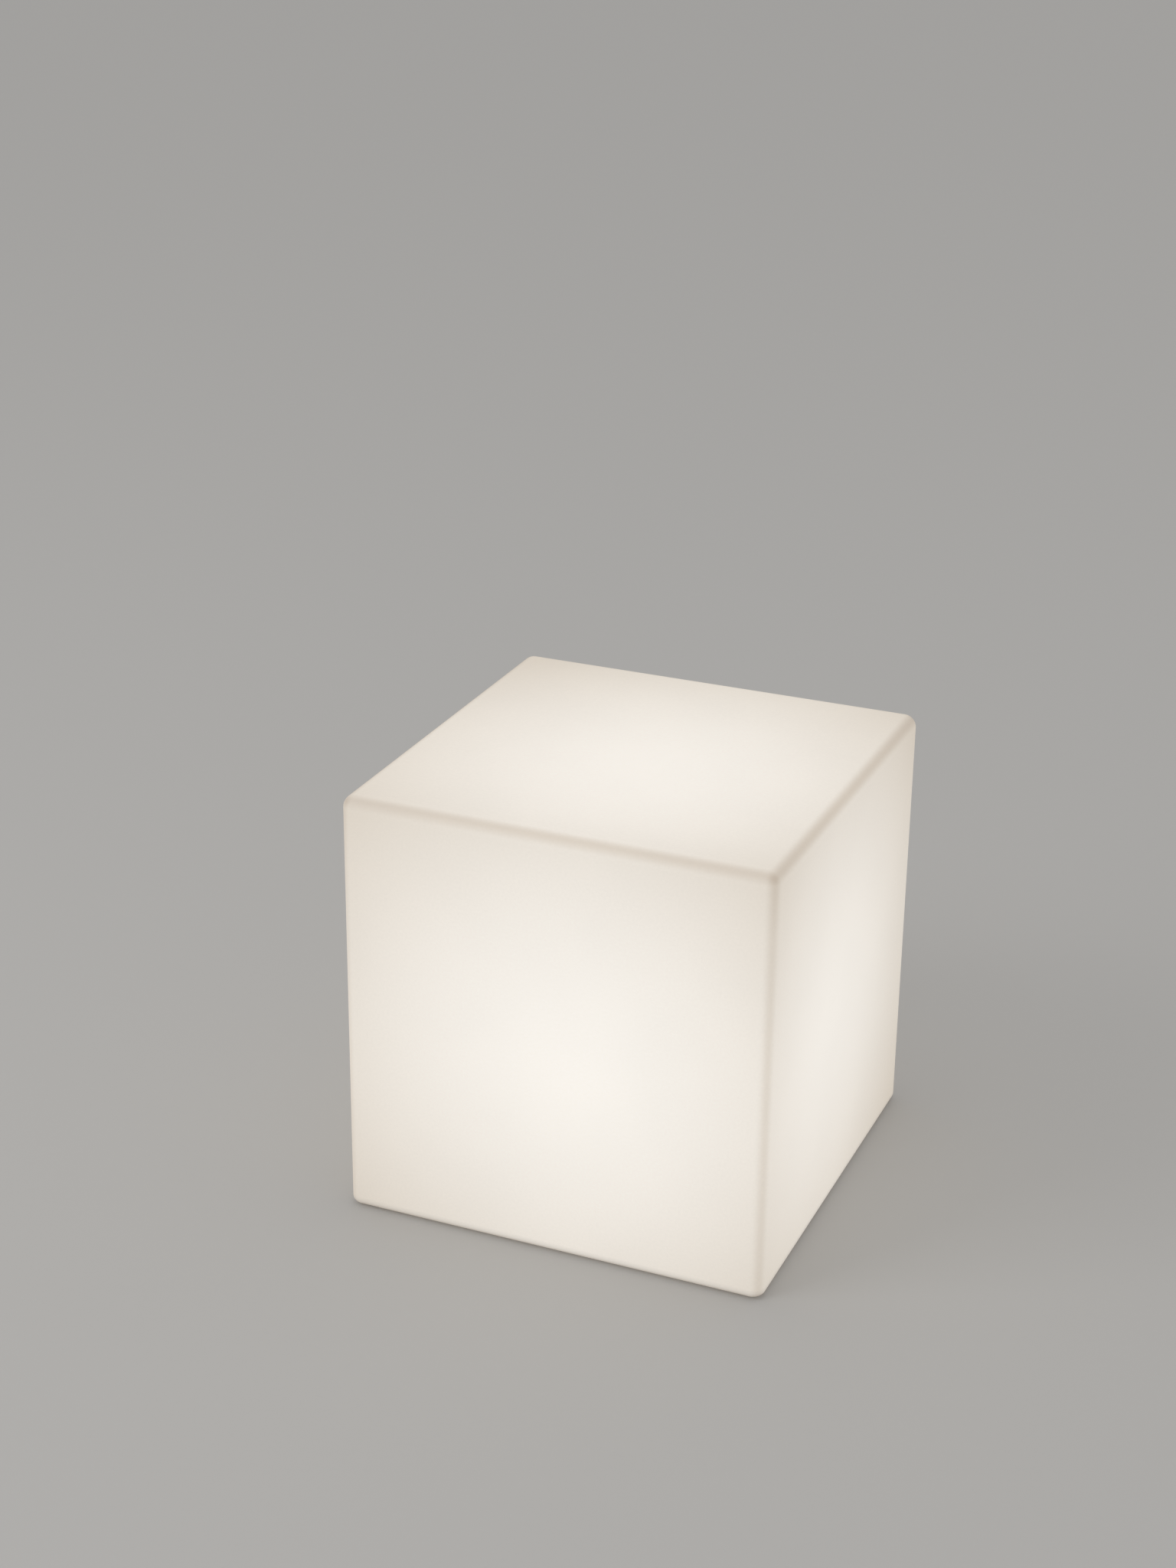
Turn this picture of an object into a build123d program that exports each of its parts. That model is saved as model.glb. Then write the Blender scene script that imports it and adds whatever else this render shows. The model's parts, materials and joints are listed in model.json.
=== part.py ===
from build123d import *
import os
from math import sqrt

# Glowing cube lamp with a rechargeable light module screwed into its underside.
# Millimetres. Origin on the floor under the cube's centre, +Z up, front face towards -Y.

# Shell: one hollow moulding of translucent white polyethylene
width = 400
depth = 400
height = 405
wall = 4
edge_radius = 12  # top edges and upright edges
base_radius = 6  # edges along the floor
rim_width = 32  # flat rim round the dished underside
dish_depth = 3
dish_corner = 14
dish_draft = 45  # degrees
fit_gap = 0.02  # radial room of pressed and moulded-in pieces
slip_gap = 0.15  # radial room of pieces that slide together by hand

# Square rubber pads in the corners of the rim
foot_side = 20
foot_thickness = 3
foot_proud = 1.5
foot_inset = 19  # pad centre to the side of the cube

# Well in the underside for the light module, with hexagonal brass inserts in bosses
seat_radius = 95
land_width = 20  # seat between the opening and the well's side
seat_depth = 14
well_draft = 2
insert_count = 4
insert_flats = 8
insert_length = 9
boss_wall = 3
bolt_radius = 2.5  # M5
bolt_head_flats = 8
bolt_head_height = 3
hole_end_room = 1  # left free past the end of a screw in a blind hole

# Module housing: flange, floor and cup in one moulding, on a flat gasket
flange_gap = 1.5  # flange to the seat's edge
flange_thickness = 4
floor_thickness = 3
cup_gap = 3  # cup to the edge of the shell's opening
cup_wall = 3
cup_height = 30  # rim of the cup above the gasket's seat
gasket_width = 4
gasket_thickness = 1.5
rib_count = 6
rib_thickness = 2
rib_reach = 8
rib_drop = 6  # rib top below the cup's rim

# Cover of the cup: a white reflector with the collar of the stem
cover_thickness = 3
collar_wall = 4
collar_height = 14
ledge_thickness = 1.5
ledge_width = 3
cover_screw_inset = 6  # screw's axis to the cup's inner wall
cover_screw_count = 3
cover_boss_radius = 4.5

# Small screws
small_radius = 1.5  # M3
small_head_radius = 2.75
small_head_height = 1.8
screw_bite = 7

# Power button, its silicone return sleeve and its switch
button_x = 26
button_y = -36
guide_radius = 8
guide_wall = 2.5
guide_height = 8
button_gap = 0.3
button_proud = 1.5
button_travel = 1
button_lip = 1.6
button_lip_height = 1.5
sleeve_radius = 6.5
sleeve_wall = 0.8
switch_side = 6
switch_height = 3.5
switch_plunger_radius = 1.75

# Charging port: pocket, jack, hinged flap and its seal
port_x = -26
port_y = -36
pocket_half_x = 13.5
pocket_half_y = 8.5
pocket_depth = 7
pocket_wall = 2
pocket_ceiling = 2.5
flap_ledge = 1.5
flap_thickness = 2
flap_gap = 0.4
knuckle_radius = 1.9
knuckle_half = 9
knuckle_gap = 0.3
ear_depth = 4.5
ear_roof = 1  # ear above the knuckle
pin_radius = 0.75
pin_running_gap = 0.05
jack_offset = -1.5  # jack axis from the pocket's middle, away from the hinge
jack_flange_radius = 6.75
jack_flange_height = 1.5
jack_barrel_radius = 5.5
jack_barrel_height = 11
jack_bore_radius = 3.15
jack_bore_depth = 10
jack_pin_radius = 1.05
jack_pin_setback = 1
jack_pin_chamfer = 0.4
jack_tab_length = 5
jack_tab_width = 4
jack_tab_thickness = 0.8
jack_tab_offset = 2.75  # tab to the jack's axis
nut_across_flats = 14
nut_height = 2.5
seal_radius = 5.6
seal_clearance = 0.3
nail_width = 12
nail_reach = 4
nail_depth = 1.2

# Charge indicator and pressure vent
pipe_x = 0
pipe_y = -40
pipe_radius = 2.5
pipe_proud = 0.3
vent_x = -53
vent_y = -6
vent_head_flats = 11
vent_head_height = 1.8
vent_stem_radius = 3
vent_stem_reach = 1

# Battery: two round cells side by side in a tray under a strap
cell_radius = 9.2
cell_length = 65
cell_count = 2
cell_gap = 0.3
cell_cap_radius = 3
cell_cap_height = 1
pack_y = 20
tray_floor = 1.8
tray_height = 9
tray_wall = 1.6
tray_end_gap = 1.2
tab_width = 7
tab_thickness = 0.4
strap_width = 12
strap_thickness = 2.5
strap_gap = 0.2
strap_foot = 14
strap_boss_radius = 4

# Control board and what stands on it
board_gap = 1.5  # board's round edge to the cover's bosses
board_thickness = 1.6
board_lift = 12.5  # underside above the housing's floor
board_edge_y = -17.5
board_slot_gap = 2.5
post_radius = 3.5
board_posts = ((-46, -24), (46, -24), (9, -52))
inductor_size = (9, 9, 5.5)
inductor_corner = 1.8
inductor_place = (18, -26)
capacitor_radius = 4
capacitor_height = 11
capacitor_place = (34, -27)
chip_size = (5, 6, 1.6)
chip_places = ((-3, -30), (10, -43), (42, -36))
plug_size = (7.5, 6, 6)  # wire connectors
battery_plug = (-8, -22)
lamp_plug = (6, -24)
jack_plug = (-12, -37.5)
indicator_size = (3.5, 3, 1.9)

# Stem and lamp head
stem_radius = 16
stem_wall = 1.5
stem_length = 106
socket_wall = 3.5
socket_height = 14
plate_thickness = 5
wire_hole = 6
diffuser_radius = 46
diffuser_wall = 2
diffuser_height = 76

# Heat sink: a six-sided extrusion with webs to a wire bore
sink_flats = 42
sink_height = 64
sink_wall = 3
sink_bore = 5
sink_core = 8
sink_web = 2

# Light boards: one on each side of the heat sink and one on its top
side_count = 6
strip_width = 18
strip_height = 58
strip_thickness = 1.6
led_side = 5
led_thickness = 1.2
led_rows = 4
led_row_pitch = 13
top_board_flats = 38
top_led_circle = 12
top_led_count = 6

# Wires
lead_radius = 0.8
lead_pitch = 2
cable_radius = 2
cable_bend = 6

# Heights, from the floor up
shell_z = foot_proud
seat_z = shell_z + seat_depth
flange_top_z = seat_z - gasket_thickness
flange_z = flange_top_z - flange_thickness
floor_top_z = flange_z + floor_thickness
cup_top_z = seat_z + cup_height
board_z = floor_top_z + board_lift
button_top_z = flange_z + guide_height + button_lip_height
board_top_z = board_z + board_thickness

# Radii of the opening, the ring of inserts, the flange and the cup, all from the shell's seat
opening_radius = seat_radius - land_width
insert_circle = seat_radius - land_width / 2
flange_radius = seat_radius - flange_gap
cup_radius = opening_radius - cup_gap
cup_inner = cup_radius - cup_wall
cover_screw_circle = cup_inner - cover_screw_inset
board_radius = cover_screw_circle - cover_boss_radius - board_gap

# Levels of the stem and the lamp head
collar_bore = stem_radius + slip_gap
stem_z = cup_top_z + ledge_thickness
plate_z = stem_z + stem_length
plate_top_z = plate_z + plate_thickness
sink_z = plate_top_z
sink_top_z = sink_z + sink_height
sink_middle_z = sink_z + sink_height / 2

# Places in the charging port
pocket_top_z = flange_z + pocket_depth
hinge_y = port_y + pocket_half_y - knuckle_radius - flap_gap
hinge_z = flange_z + knuckle_radius
jack_y = port_y + jack_offset
jack_mouth_z = pocket_top_z - jack_flange_height
jack_back_z = jack_mouth_z + jack_bore_depth
ear_front = ear_depth - knuckle_radius - flap_gap  # ear's front face to the hinge axis
ear_sweep = sqrt(ear_front**2 + knuckle_radius**2)  # its lower front corner to the hinge axis

# Places in the battery
cell_pitch = 2 * cell_radius + cell_gap
trough_radius = cell_radius + cell_gap / 2
cell_z = floor_top_z + tray_floor + trough_radius
tray_half_x = cell_count * cell_pitch / 2 + tray_wall
tray_half_y = cell_length / 2 + tray_end_gap + tray_wall
tray_top_z = floor_top_z + tray_height
strap_z = cell_z + cell_radius + strap_gap
strap_end = tray_half_x + slip_gap + strap_thickness + strap_foot / 2
strap_ends = (-strap_end, strap_end)


def block(x, y, z):
    """Box between a low and a high value along each axis."""
    low = Vector(x[0], y[0], z[0])
    high = Vector(x[1], y[1], z[1])
    size = high - low
    return Pos(*(low + high) / 2) * Box(size.X, size.Y, size.Z)


def disc(radius, low, high, x=0, y=0):
    """Upright cylinder between two heights."""
    return Pos(x, y, (low + high) / 2) * Cylinder(radius, high - low)


def ring(outer, inner, low, high, x=0, y=0):
    """Upright tube between two heights."""
    return disc(outer, low, high, x, y) - disc(inner, low, high, x, y)


def turned(points):
    """Solid turned about the Z axis from an outline of (radius, height) points."""
    return revolve(make_face(Plane.XZ * Polyline(*points, close=True)), Axis.Z)


def hexagon(flats):
    return RegularPolygon(flats / sqrt(3), 6)


def wire(radius, bend, *points):
    """Six-sided wire of straight runs joined by tangent arcs."""
    path = FilletPolyline(*points, radius=bend) if len(points) > 2 else Line(*points)
    section = Plane(origin=path @ 0, z_dir=path % 0) * RegularPolygon(radius, 6)
    return sweep(section, path)


# Shell and feet


def outer_form():
    """Block with its top and upright edges rounded alike and a tighter round along the floor."""
    body = block((-width / 2, width / 2), (-depth / 2, depth / 2), (shell_z, shell_z + height))
    layers = body.edges().group_by(Axis.Z)
    body = fillet(layers[1] + layers[2], edge_radius)
    return fillet(body.edges().group_by(Axis.Z)[0], base_radius)


def cavity():
    """Hollow of the shell, one wall inside the outer form and over what is pressed into its floor."""
    half_x = width / 2 - wall
    half_y = depth / 2 - wall
    body = block((-half_x, half_x), (-half_y, half_y), (shell_z + wall, shell_z + height - wall))
    layers = body.edges().group_by(Axis.Z)
    body = chamfer(layers[1] + layers[2], edge_radius - wall)
    body -= underside_dish(wall)
    body -= disc(seat_radius + well_draft + wall, shell_z, seat_z + wall)
    boss = Pos(0, 0, seat_z) * extrude(hexagon(insert_flats + 2 * boss_wall), insert_length + boss_wall)
    return body - [place * boss for place in insert_turns()]


def underside_dish(skin):
    """Shallow tapered recess in the underside, grown by a skin."""
    outline = RectangleRounded(
        width - 2 * rim_width + 2 * skin, depth - 2 * rim_width + 2 * skin, dish_corner + skin
    )
    return Pos(0, 0, shell_z) * extrude(outline, dish_depth + skin, taper=dish_draft)


def module_well():
    """Drafted round recess that takes the module."""
    mouth = seat_radius + well_draft
    return turned([(0, shell_z), (mouth, shell_z), (seat_radius, seat_z), (0, seat_z)])


def square_pad(side, low):
    """Square block up to the height of the feet's seats."""
    return block((-side / 2, side / 2), (-side / 2, side / 2), (low, foot_thickness))


def foot_places():
    return GridLocations(width - 2 * foot_inset, depth - 2 * foot_inset, 2, 2)


def insert_turns():
    """Places of the inserts, on the cube's diagonals."""
    return PolarLocations(insert_circle, insert_count, 180 / insert_count)


def shell():
    body = outer_form() - underside_dish(0) - module_well() - cavity()
    body -= disc(opening_radius, shell_z, seat_z + wall)
    hole = Pos(0, 0, seat_z) * extrude(hexagon(insert_flats), insert_length)
    body -= [place * hole for place in insert_turns()]
    recess = square_pad(foot_side + 2 * slip_gap, shell_z)
    return body - [place * recess for place in foot_places()]


def flange_inserts():
    insert = extrude(hexagon(insert_flats), insert_length)
    insert -= disc(bolt_radius + fit_gap, 0, insert_length)
    return [place * Pos(0, 0, seat_z) * insert for place in insert_turns()]


def pad_foot(place):
    return place * square_pad(foot_side, 0)


# Light module: housing and what closes it


def flange_gasket():
    inner = opening_radius + cup_gap / 2
    return ring(inner + gasket_width, inner, flange_top_z, seat_z)


def flange_bolts():
    bolt = Pos(0, 0, flange_z - bolt_head_height) * extrude(hexagon(bolt_head_flats), bolt_head_height)
    bolt += disc(bolt_radius, flange_z, seat_z + insert_length - hole_end_room)
    return [place * bolt for place in insert_turns()]


def cup_form():
    """Flange, floor and cup wall."""
    return turned(
        [
            (0, flange_z),
            (flange_radius, flange_z),
            (flange_radius, flange_top_z),
            (cup_radius, flange_top_z),
            (cup_radius, cup_top_z),
            (cup_inner, cup_top_z),
            (cup_inner, floor_top_z),
            (0, floor_top_z),
        ]
    )


def port_pocket():
    """Walls of the charging port's pocket, and the room inside it, as a pair."""
    across = (port_x - pocket_half_x, port_x + pocket_half_x)
    along = (port_y - pocket_half_y, port_y + pocket_half_y)
    walls = block(
        (across[0] - pocket_wall, across[1] + pocket_wall),
        (along[0] - pocket_wall, along[1] + pocket_wall),
        (flange_z, pocket_top_z + pocket_ceiling),
    )
    room = block(across, along, (flange_z, pocket_top_z))
    room += block(
        (across[0] - flap_ledge, across[1] + flap_ledge), along, (flange_z, flange_z + flap_thickness)
    )
    return walls, room


def hinge_ears():
    """Two blocks in the pocket that hold the flap's pin."""
    inner = knuckle_half + knuckle_gap
    outer = pocket_half_x + flap_ledge
    back = port_y + pocket_half_y
    tall = (flange_z, hinge_z + knuckle_radius + ear_roof)
    left = block((port_x - outer, port_x - inner), (back - ear_depth, back), tall)
    right = block((port_x + inner, port_x + outer), (back - ear_depth, back), tall)
    return [left, right]


def hinge_rod(radius, half_length):
    """Cylinder on the flap's hinge axis."""
    return Pos(port_x, hinge_y, hinge_z) * Rot(0, 90, 0) * Cylinder(radius, 2 * half_length)


def housing_bosses():
    """Posts for the control board and bosses for the strap and the cover."""
    root = flange_z + floor_thickness / 2
    posts = [disc(post_radius, root, board_z, x, y) for x, y in board_posts]
    straps = [disc(strap_boss_radius, root, tray_top_z, x, pack_y) for x in strap_ends]
    covers = [place * disc(cover_boss_radius, root, cup_top_z) for place in cover_screw_places()]
    return posts + straps + covers


def module_housing():
    rib = block(
        (cup_inner - rib_reach, cup_inner + cup_wall / 2),
        (-rib_thickness / 2, rib_thickness / 2),
        (flange_z + floor_thickness / 2, cup_top_z - rib_drop),
    )
    guide_top = flange_z + guide_height
    walls, room = port_pocket()
    body = cup_form() + [place * rib for place in PolarLocations(0, rib_count)]
    body += housing_bosses()
    body += disc(guide_radius + guide_wall, flange_z, guide_top, button_x, button_y)
    body += walls
    body -= room
    body += hinge_ears()
    body -= hinge_rod(pin_radius + fit_gap, pocket_half_x)
    body -= disc(jack_barrel_radius + slip_gap, pocket_top_z, pocket_top_z + pocket_ceiling, port_x, jack_y)
    body -= disc(guide_radius, flange_z, guide_top, button_x, button_y)
    body -= disc(pipe_radius + slip_gap, flange_z, floor_top_z, pipe_x, pipe_y)
    body -= disc(vent_stem_radius + slip_gap, flange_z, floor_top_z, vent_x, vent_y)
    front = port_y - pocket_half_y
    body -= block(
        (port_x - nail_width / 2, port_x + nail_width / 2),
        (front - nail_reach, front),
        (flange_z, flange_z + nail_depth),
    )
    shaft = disc(bolt_radius + slip_gap, flange_z, flange_top_z)
    body -= [place * shaft for place in insert_turns()]
    pilot = disc(small_radius + fit_gap, cup_top_z - screw_bite, cup_top_z)
    return body - [place * pilot for place in cover_screw_places()]


def cover_screw_places():
    return PolarLocations(cover_screw_circle, cover_screw_count, -90)


def module_cover():
    """Flat reflector with a collar for the stem and a ledge that the stem stands on."""
    rim_z = cup_top_z + cover_thickness
    collar_z = rim_z + collar_height
    body = turned(
        [
            (collar_bore - ledge_width, cup_top_z),
            (cup_radius, cup_top_z),
            (cup_radius, rim_z),
            (collar_bore + collar_wall, rim_z),
            (collar_bore + collar_wall, collar_z),
            (collar_bore, collar_z),
            (collar_bore, stem_z),
            (collar_bore - ledge_width, stem_z),
        ]
    )
    drill = disc(small_radius + slip_gap, cup_top_z, rim_z)
    return body - [place * drill for place in cover_screw_places()]


def cover_screws():
    rim_z = cup_top_z + cover_thickness
    screw = disc(small_radius, cup_top_z - screw_bite + hole_end_room, rim_z)
    screw += disc(small_head_radius, rim_z, rim_z + small_head_height)
    return [place * screw for place in cover_screw_places()]


def vent_plug():
    """Six-sided breather whose stem runs through the housing's floor."""
    body = Pos(0, 0, flange_z - vent_head_height) * extrude(hexagon(vent_head_flats), vent_head_height)
    body += disc(vent_stem_radius, flange_z, floor_top_z + vent_stem_reach)
    return Pos(vent_x, vent_y, 0) * body


def light_pipe():
    return disc(pipe_radius, flange_z - pipe_proud, board_z - indicator_size[2] - fit_gap, pipe_x, pipe_y)


# Power button


def power_button():
    """Sliding cap with a lip that retains it inside the housing."""
    lip_z = flange_z + guide_height
    cap = disc(guide_radius - button_gap, flange_z - button_proud, lip_z)
    return Pos(button_x, button_y, 0) * (cap + disc(guide_radius + button_lip, lip_z, button_top_z))


def return_sleeve():
    """Soft silicone sleeve between the button's lip and the control board."""
    return ring(sleeve_radius, sleeve_radius - sleeve_wall, button_top_z, board_z, button_x, button_y)


def tact_switch():
    """Switch under the control board, its plunger one travel above the button."""
    body_z = board_z - switch_height
    half = switch_side / 2
    body = block((-half, half), (-half, half), (body_z, board_z))
    body += disc(switch_plunger_radius, button_top_z + button_travel, body_z)
    return Pos(button_x, button_y, 0) * body


# Charging port


def dc_jack():
    """Panel jack with its mouth in the pocket, a centre pin and two solder tabs."""
    back = jack_mouth_z + jack_flange_height + jack_barrel_height
    body = disc(jack_flange_radius, jack_mouth_z, pocket_top_z)
    body += disc(jack_barrel_radius, pocket_top_z, back)
    body -= disc(jack_bore_radius, jack_mouth_z, jack_back_z)
    pin = disc(jack_pin_radius, jack_mouth_z + jack_pin_setback, jack_back_z)
    body += chamfer(pin.edges().group_by(Axis.Z)[0], jack_pin_chamfer)
    tab = Pos(0, 0, back + jack_tab_length / 2) * Box(jack_tab_thickness, jack_tab_width, jack_tab_length)
    body += [Pos(side * jack_tab_offset, 0, 0) * tab for side in (-1, 1)]
    return Pos(port_x, jack_y, 0) * body


def jack_nut():
    low = pocket_top_z + pocket_ceiling
    nut = extrude(RegularPolygon(nut_across_flats / sqrt(3), 6), nut_height)
    return Pos(port_x, jack_y, low) * (nut - disc(jack_barrel_radius + fit_gap, 0, nut_height))


def port_flap():
    """Flap with a knuckle at its back and shoulders that rest on the pocket's ledges."""
    back = hinge_y - ear_sweep - knuckle_gap
    front = port_y - pocket_half_y + flap_gap
    wide = pocket_half_x + flap_ledge - flap_gap
    top = flange_z + flap_thickness
    body = block((port_x - wide, port_x + wide), (front, back), (flange_z, top))
    body += block((port_x - knuckle_half, port_x + knuckle_half), (front, hinge_y), (flange_z, top))
    body += hinge_rod(knuckle_radius, knuckle_half)
    return body - hinge_rod(pin_radius + pin_running_gap, knuckle_half)


def flap_pin():
    return hinge_rod(pin_radius, pocket_half_x)


def flap_seal():
    """Soft pad on the flap that closes the jack's mouth."""
    return disc(seal_radius, flange_z + flap_thickness, jack_mouth_z - seal_clearance, port_x, jack_y)


# Battery


def cell_x(number):
    return (number - (cell_count - 1) / 2) * cell_pitch


def battery_cell(number):
    """Round cell along Y with a raised cap at its back end."""
    can = cell_length - cell_cap_height
    body = disc(cell_radius, 0, can) + disc(cell_cap_radius, can, cell_length)
    return Pos(cell_x(number), pack_y - cell_length / 2, cell_z) * Rot(-90, 0, 0) * body


def battery_tray():
    """Open tray with a round trough under each cell."""
    body = block(
        (-tray_half_x, tray_half_x),
        (pack_y - tray_half_y, pack_y + tray_half_y),
        (floor_top_z, tray_top_z),
    )
    trough = Rot(90, 0, 0) * Cylinder(trough_radius, cell_length + 2 * tray_end_gap)
    return body - [Pos(cell_x(number), pack_y, cell_z) * trough for number in range(cell_count)]


def cell_tabs():
    """Welded strip across the cells at each end."""
    across = (cell_x(0) - tab_width / 2, cell_x(cell_count - 1) + tab_width / 2)
    tall = (tray_top_z + slip_gap, tray_top_z + slip_gap + tab_width)
    front = pack_y - cell_length / 2
    back = pack_y + cell_length / 2
    return [
        block(across, (front - tab_thickness, front), tall),
        block(across, (back, back + tab_thickness), tall),
    ]


def battery_strap():
    """Bridge over the cells with a foot at each end."""
    leg = tray_half_x + slip_gap
    foot = leg + strap_thickness + strap_foot
    top = strap_z + strap_thickness
    sole = tray_top_z + strap_thickness
    right = [
        (leg, strap_z),
        (leg, tray_top_z),
        (foot, tray_top_z),
        (foot, sole),
        (leg + strap_thickness, sole),
        (leg + strap_thickness, top),
    ]
    left = [(-x, z) for x, z in reversed(right)]
    outline = make_face(Plane.XZ * Polyline(*right, *left, close=True))
    return Pos(0, pack_y, 0) * extrude(outline, strap_width / 2, both=True)


# Control board


def control_board():
    """Board in the shape of a circle's segment, with a round-ended slot that clears the jack."""
    body = disc(board_radius, board_z, board_top_z)
    body &= block((-board_radius, board_radius), (-board_radius, board_edge_y), (board_z, board_top_z))
    clear = jack_barrel_radius + board_slot_gap
    body -= disc(clear, board_z, board_top_z, port_x, jack_y)
    return body - block((port_x - clear, port_x + clear), (-board_radius, jack_y), (board_z, board_top_z))


def on_board(size, place):
    """Box standing on the board's upper side."""
    return Pos(*place, board_top_z + size[2] / 2) * Box(*size)


def inductor():
    body = on_board(inductor_size, inductor_place)
    return chamfer(body.edges().filter_by(Axis.Z), inductor_corner)


def capacitor():
    return disc(capacitor_radius, board_top_z, board_top_z + capacitor_height, *capacitor_place)


def board_chips():
    return [on_board(chip_size, place) for place in chip_places]


def board_plugs():
    return [on_board(plug_size, place) for place in (battery_plug, lamp_plug, jack_plug)]


def indicator_led():
    wide, deep, high = indicator_size
    return Pos(pipe_x, pipe_y, board_z - high / 2) * Box(wide, deep, high)


# Stem and lamp head


def stem_tube():
    return ring(stem_radius, stem_radius - stem_wall, stem_z, plate_z)


def head_base():
    """Carrier of the lamp head: a round plate with the stem's socket under it."""
    socket_z = plate_z - socket_height
    plate_radius = diffuser_radius - diffuser_wall - slip_gap
    return turned(
        [
            (wire_hole, plate_z),
            (collar_bore, plate_z),
            (collar_bore, socket_z),
            (collar_bore + socket_wall, socket_z),
            (collar_bore + socket_wall, plate_z),
            (plate_radius, plate_z),
            (plate_radius, plate_top_z),
            (wire_hole, plate_top_z),
        ]
    )


def diffuser():
    """Opal cup upside down over the lamp head, its open end round the plate."""
    top_z = plate_z + diffuser_height
    body = disc(diffuser_radius, plate_z, top_z)
    return body - disc(diffuser_radius - diffuser_wall, plate_z, top_z - diffuser_wall)


def heat_sink():
    """Extrusion with six flat sides and a web from each corner to the wire bore."""
    web = Pos(sink_flats / 4, 0) * Rectangle(sink_flats / 2, sink_web)
    section = hexagon(sink_flats) - hexagon(sink_flats - 2 * sink_wall)
    section += [place * web for place in PolarLocations(0, side_count)]
    section += Circle(sink_core)
    section -= Circle(sink_bore)
    return Pos(0, 0, sink_z) * extrude(section, sink_height)


def side_angles():
    return [360 / side_count * (n + 0.5) for n in range(side_count)]


def light_strip(angle):
    """Narrow board on one side of the heat sink."""
    strip = Box(strip_thickness, strip_width, strip_height)
    return Rot(0, 0, angle) * Pos(sink_flats / 2 + strip_thickness / 2, 0, sink_middle_z) * strip


def side_leds():
    """A column of light packages on each side board."""
    package = Box(led_thickness, led_side, led_side)
    reach = sink_flats / 2 + strip_thickness + led_thickness / 2
    lowest = sink_middle_z - led_row_pitch * (led_rows - 1) / 2
    return [
        Rot(0, 0, angle) * Pos(reach, 0, lowest + led_row_pitch * row) * package
        for angle in side_angles()
        for row in range(led_rows)
    ]


def top_board():
    body = Pos(0, 0, sink_top_z) * extrude(hexagon(top_board_flats), strip_thickness)
    return body - disc(sink_bore, sink_top_z, sink_top_z + strip_thickness)


def top_leds():
    z = sink_top_z + strip_thickness + led_thickness / 2
    package = Pos(0, 0, z) * Box(led_side, led_side, led_thickness)
    return [place * package for place in PolarLocations(top_led_circle, top_led_count)]


# Wires


def battery_lead():
    """Two wires from the cells' front strip to their connector."""
    x, y = battery_plug
    start = pack_y - cell_length / 2 - tab_thickness
    end = y + plug_size[1] / 2
    z = tray_top_z + slip_gap + tab_width - lead_radius
    places = (x - lead_pitch / 2, x + lead_pitch / 2)
    return [wire(lead_radius, 0, (place, start, z), (place, end, z)) for place in places]


def jack_lead():
    """Two wires from the jack's nearer tab over to their connector."""
    start = port_x + jack_tab_offset + jack_tab_thickness / 2
    end = jack_plug[0] - plug_size[0] / 2
    y = jack_y
    z = board_top_z + plug_size[2] / 2
    places = (y - lead_pitch / 2, y + lead_pitch / 2)
    return [wire(lead_radius, 0, (start, place, z), (end, place, z)) for place in places]


def lamp_lead():
    """Cable from its connector over the cells, then up the stem and the heat sink's bore."""
    x, y = lamp_plug
    low = board_top_z + plug_size[2]
    over = cup_top_z - 2 * cable_radius
    return wire(cable_radius, cable_bend, (x, y, low), (x, y, over), (0, 0, over), (0, 0, sink_top_z))


os.makedirs("parts", exist_ok=True)

nodes = {
    "shell": shell(),
    "flange_inserts": flange_inserts(),
    "module_housing": module_housing(),
    "flange_gasket": flange_gasket(),
    "flange_bolts": flange_bolts(),
    "module_cover": module_cover(),
    "cover_screws": cover_screws(),
    "vent_plug": vent_plug(),
    "light_pipe": light_pipe(),
    "power_button": power_button(),
    "return_sleeve": return_sleeve(),
    "tact_switch": tact_switch(),
    "dc_jack": dc_jack(),
    "jack_nut": jack_nut(),
    "port_flap": port_flap(),
    "flap_pin": flap_pin(),
    "flap_seal": flap_seal(),
    "battery_tray": battery_tray(),
    "cell_tabs": cell_tabs(),
    "battery_strap": battery_strap(),
    "control_board": control_board(),
    "inductor": inductor(),
    "capacitor": capacitor(),
    "board_chips": board_chips(),
    "board_plugs": board_plugs(),
    "indicator_led": indicator_led(),
    "stem_tube": stem_tube(),
    "head_base": head_base(),
    "diffuser": diffuser(),
    "heat_sink": heat_sink(),
    "side_leds": side_leds(),
    "top_board": top_board(),
    "top_leds": top_leds(),
    "battery_lead": battery_lead(),
    "jack_lead": jack_lead(),
    "lamp_lead": lamp_lead(),
}
for number, place in enumerate(foot_places(), 1):
    nodes[f"pad_foot_{number}"] = pad_foot(place)
for number in range(cell_count):
    nodes[f"battery_cell_{number + 1}"] = battery_cell(number)
for number, angle in enumerate(side_angles(), 1):
    nodes[f"light_strip_{number}"] = light_strip(angle)

for name, shape in nodes.items():
    if isinstance(shape, list):
        shape = Compound([solid for piece in shape for solid in piece.solids()])
    export_step(shape, f"parts/{name}.step")
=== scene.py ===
"""Finishes and fine pieces of a glowing cube lamp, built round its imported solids.

Lengths are in metres. The cube stands on the floor at z = 0, its front face towards -Y and +X to the right.
"""

import json
import math

import bmesh
import bpy
import numpy as np
from bpy.props import FloatProperty, FloatVectorProperty, IntProperty, PointerProperty
from bpy.types import Operator, Panel, PropertyGroup
from mathutils import Matrix, Vector


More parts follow.
